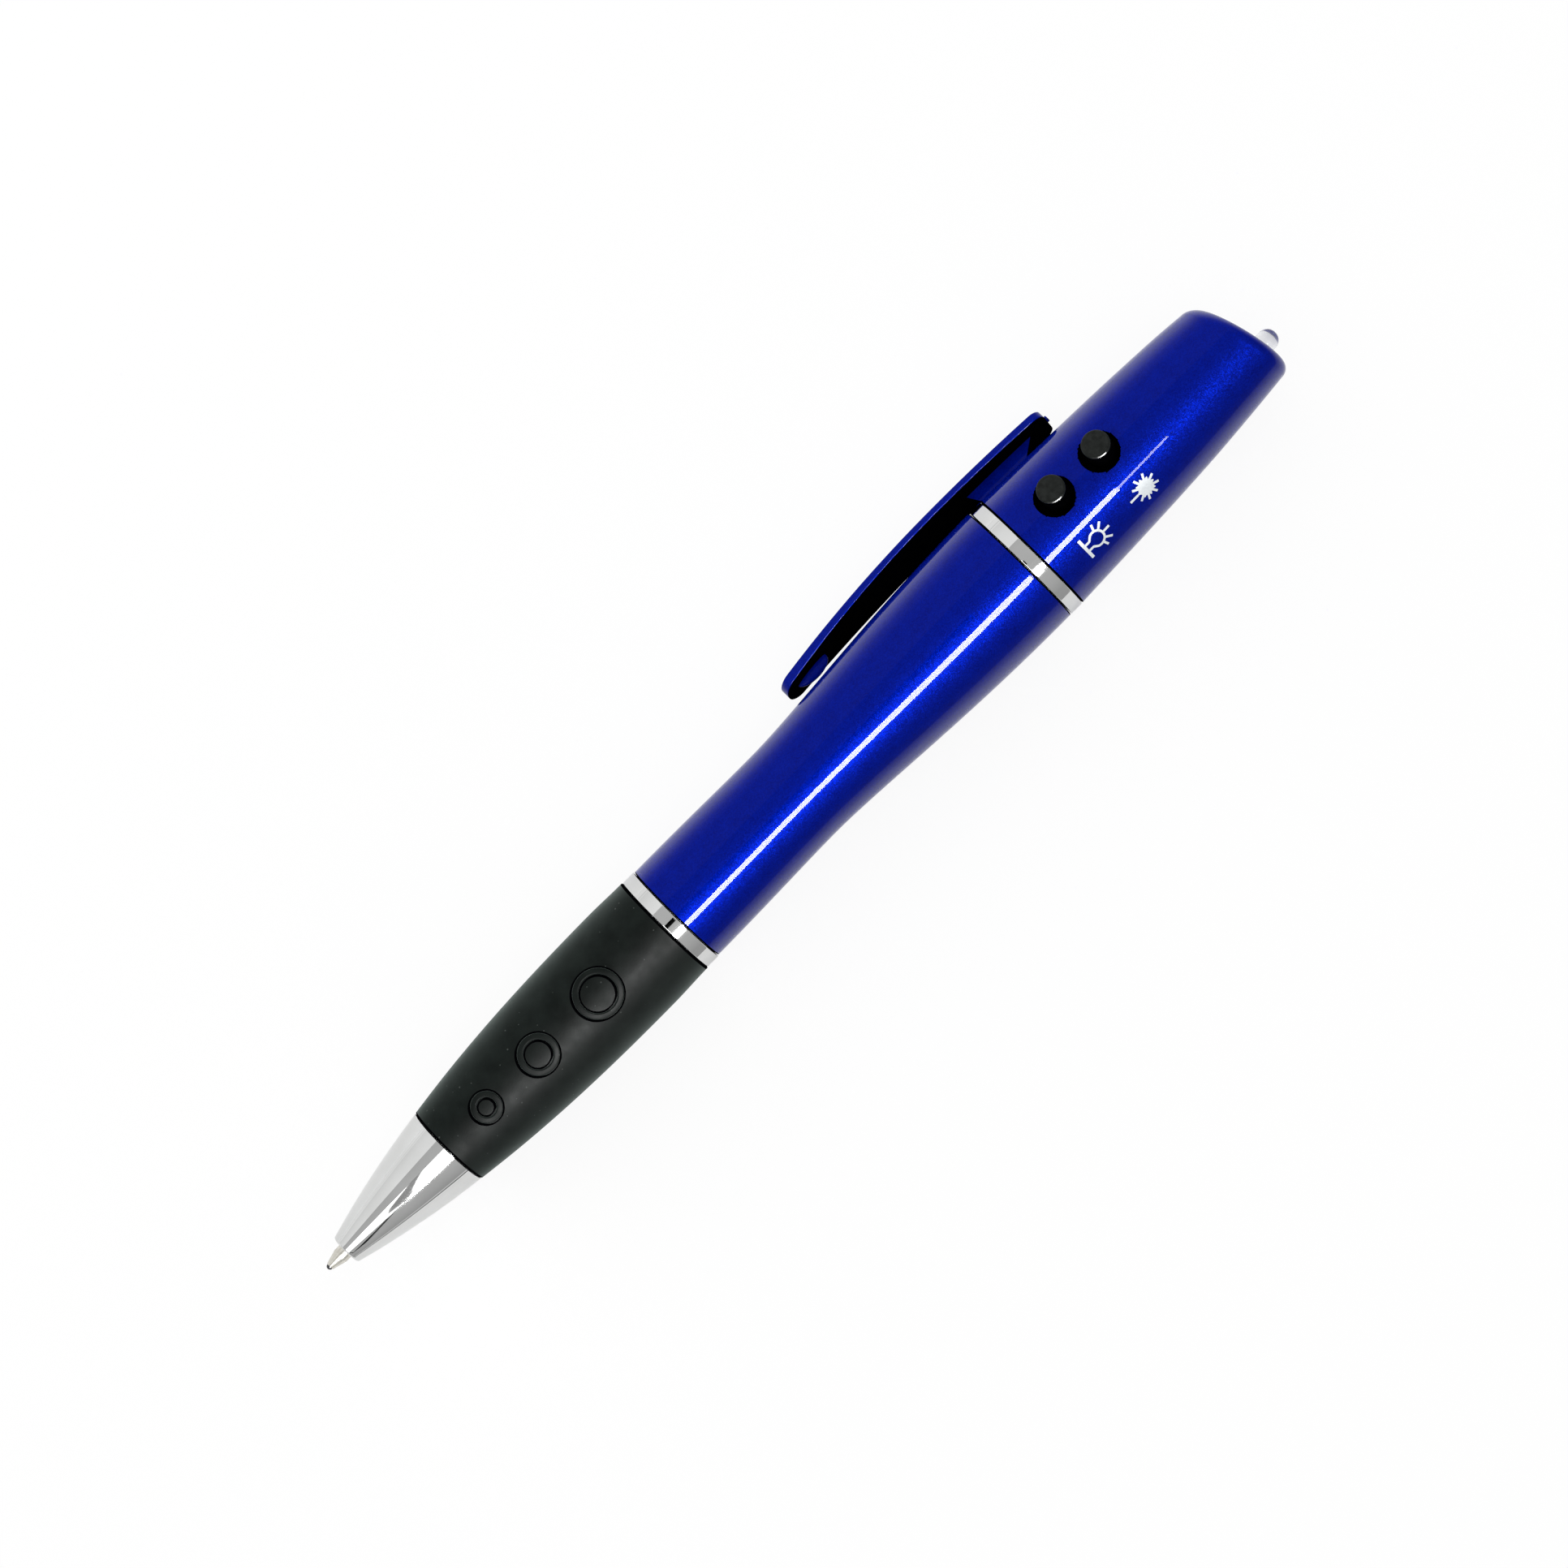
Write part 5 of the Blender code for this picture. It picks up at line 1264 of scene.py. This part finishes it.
# %% Helpers that draw and print a sign
SIGN_ANGLE = math.radians(145.5)
PRINT_RISE = 0.012
PRINT_SINK = 0.04
STROKE = 0.28


def ray_fan(name, angles, inner, outer):
    spots = [(0.0, 0.0, math.radians(angle)) for angle in angles]
    sizes = {"Inner": inner * MM, "Outer": outer * MM, "Stroke": STROKE * MM, "Material": print_white}
    return grow(name, RAYS, spots, sizes)


def stroke_mesh(name, path, width=STROKE):
    """A flat ribbon along a path of (x, y) points, in millimetres."""
    points = [Vector(point) for point in path]
    shape = bmesh.new()
    pairs = []
    for point, before, after in zip(points, points[:1] + points, points[1:] + points[-1:]):
        along = (after - before).normalized()
        side = Vector((-along.y, along.x)) * width / 2
        pairs.append([shape.verts.new((*(point + sign * side) * MM, 0.0)) for sign in (1, -1)])
    for (left, right), (next_left, next_right) in zip(pairs, pairs[1:]):
        shape.faces.new((left, right, next_right, next_left))
    return mesh_from(name, shape)


def printed(name, flats, station):
    """Join flat drawings, wrap them over the head and give them the thickness of the print."""
    shape = bmesh.new()
    for flat in flats:
        shape.from_mesh(flat)
    grown = bmesh.ops.extrude_face_region(shape, geom=shape.faces[:])["geom"]
    upper = [item for item in grown if isinstance(item, bmesh.types.BMVert)]
    bmesh.ops.translate(shape, verts=upper, vec=(0.0, 0.0, (PRINT_RISE + PRINT_SINK) * MM))
    bmesh.ops.translate(shape, verts=shape.verts, vec=(station * MM, 0.0, -PRINT_SINK * MM))
    mesh = mesh_from(name, shape, print_white)
    seated(name, wrapped(mesh, head_side, SIGN_ANGLE), "head", "white_plastic")


# %% Bulb
BULB_STATION = 117.55
BULB_RADIUS = 0.94
BULB_OPENING = 105
NECK = (-0.96, 0.41)
NECK_END = -1.49
BASE = -1.67
BASE_HALF = 1.45
BASE_STROKE = 0.38
RAY_START = 1.08
bulb_arc = [math.radians(angle) for angle in range(-BULB_OPENING, BULB_OPENING + 1, 7)]
bulb_round = [(BULB_RADIUS * math.cos(turn), BULB_RADIUS * math.sin(turn)) for turn in bulb_arc]
bulb_cheek = bend(NECK, bulb_round[-1], (0.3, 0.45), (0.0, 0.27), 10)[:-1]
bulb_path = [(NECK_END, -NECK[1]), *((x, -y) for x, y in bulb_cheek), *bulb_round, *reversed(bulb_cheek),
             (NECK_END, NECK[1])]
bulb_base = [(BASE, side) for side in np.linspace(-BASE_HALF, BASE_HALF, 9)]
printed("sign_lamp", [
    stroke_mesh("bulb", bulb_path), stroke_mesh("base", bulb_base, BASE_STROKE),
    ray_fan("bulb_rays", (-2, 39, -41), inner=RAY_START, outer=1.95),
    ray_fan("bulb_side_rays", (72, -72), inner=RAY_START, outer=1.77)], BULB_STATION)

# %% Burst
BURST_STATION = 125.33
STAR_STEPS = 128
STAR_RADIUS = 0.95
STAR_POINTS = 8
STAR_REACH = 0.27
STAR_SHARES = (0.35, 0.7, 1.0)
star_turns = [math.tau * step / STAR_STEPS for step in range(STAR_STEPS)]
star = [STAR_RADIUS + STAR_REACH * (0.5 + 0.5 * math.cos(STAR_POINTS * turn)) ** 3 for turn in star_turns]
star_rings = [[Vector((share * reach * math.cos(turn), share * reach * math.sin(turn), 0.0)) * MM
               for reach, turn in zip(star, star_turns)] for share in STAR_SHARES]
star_shape = bmesh.new()
star_loops = [[star_shape.verts.new(point) for point in ring] for ring in star_rings]
star_shape.faces.new(star_loops[0])
bridge(star_shape, star_loops)
printed("sign_laser", [
    mesh_from("star", star_shape),
    ray_fan("burst_rays", (22, 65, 109, 147, 212, 250, 296, 338), inner=STAR_RADIUS, outer=1.66),
    ray_fan("burst_beam", (180,), inner=1.2, outer=2.4)], BURST_STATION)

# %% [markdown]
# ## Screw thread and spring
# When the head is unscrewed, the thread of the cell holder comes into view. A thread and a spring are
# both a section that follows a coil, so one node tree makes them both.

# %% Node tree for coils
COIL_STEPS = 48
UPRIGHT_TO_PEN = Matrix.Rotation(math.pi / 2, 4, "Y")


def coil_tree():
    tree, given = new_tree("coil", {
        "Radius": "Float", "Length": "Float", "Turns": "Float", "Wire": "Float", "Sides": "Int",
        "Material": "Material"})
    path = {"Resolution": COIL_STEPS, "Rotations": given["Turns"], "Start Radius": given["Radius"],
            "End Radius": given["Radius"], "Height": given["Length"]}
    spiral = made(tree, "GeometryNodeCurveSpiral", path)
    section = {"Resolution": given["Sides"], "Radius": given["Wire"]}
    wire = made(tree, "GeometryNodeCurvePrimitiveCircle", section, mode="RADIUS")
    wound = {"Curve": spiral, "Profile Curve": wire, "Fill Caps": True}
    swept = made(tree, "GeometryNodeCurveToMesh", wound)
    close_tree(tree, swept, given["Material"])
    return tree


COIL = coil_tree()
print("coil tree has", len(COIL.nodes), "nodes")


def coil(name, run, radius, turns, wire, sides, material):
    low, high = run
    mesh = grow(name, COIL, [(0.0, 0.0, 0.0)], {
        "Radius": radius * MM, "Length": (high - low) * MM, "Turns": turns, "Wire": wire * MM, "Sides": sides,
        "Material": material})
    mesh.transform(Matrix.Translation((low * MM, 0.0, 0.0)) @ UPRIGHT_TO_PEN)
    face_outwards(mesh)
    return mesh


# %% Spring, holder and thread
SPRING_RUN = (97.76, 102.48)
SPRING_RADIUS = 3.0
SPRING_TURNS = 5.0
SPRING_WIRE = 0.25
HOLDER_FRONT = 96.23
HOLDER_FLOOR = HOLDER_FRONT + 1.2
HOLDER_BACK = 114.25
HOLDER_RADIUS = 5.25
HOLDER_BORE = 4.15
THREAD_RUN = (110.1, 113.9)
THREAD_PITCH = 0.65
THREAD_WIRE = 0.1
THREAD_SINK = 0.03
spring = coil("cell_spring", SPRING_RUN, SPRING_RADIUS, SPRING_TURNS, SPRING_WIRE, 16, steel)
seated("cell_spring", spring, "barrel", "steel", "battery_spring")
holder_outline = softened([
    (HOLDER_FLOOR, 0.0, 0.0), (HOLDER_FLOOR, HOLDER_BORE, 0.0), (HOLDER_BACK, HOLDER_BORE, 0.1),
    (HOLDER_BACK, HOLDER_RADIUS, 0.15), (HOLDER_FRONT, HOLDER_RADIUS, 0.15), (HOLDER_FRONT, 0.0, 0.0)])
seat_turned("cell_holder", holder_outline, white_plastic, 128, "barrel", "white_plastic", "battery_holder")
thread_turns = (THREAD_RUN[1] - THREAD_RUN[0]) / THREAD_PITCH
thread = coil("holder_thread", THREAD_RUN, HOLDER_RADIUS - THREAD_SINK, thread_turns, THREAD_WIRE, 10,
              white_plastic)
seated("holder_thread", thread, "barrel", "white_plastic", "battery_holder")

# %% [markdown]
# The solids inside the pen keep their shape and get a finish each.

# %% Finish
inner_finishes = (
    (grey_plastic, ("cam_sleeve", "grip_core")),
    (white_plastic, ("drive_tube", "carriage")),
    (black_plastic, ("emitter_carrier", "lamp_switch_stem", "laser_switch_stem")),
    (clear_plastic, ("refill_tube",)),
    (steel, ("button_cell_1", "button_cell_2", "button_cell_3", "follower_pin")),
    (steel, ("lamp_switch", "laser_switch")),
    (brass, ("thread_insert", "battery_contact", "laser_can", "laser_diode")),
    (board_green, ("circuit_board",)),
    (ceramic, ("lamp_resistor", "laser_resistor")),
    (lens_glass, ("laser_lens",)))
for finish, nodes in inner_finishes:
    for node in nodes:
        for slot in frame["nodes"][node].material_slots:
            slot.material = finish
    print(finish.name, "on", *nodes)
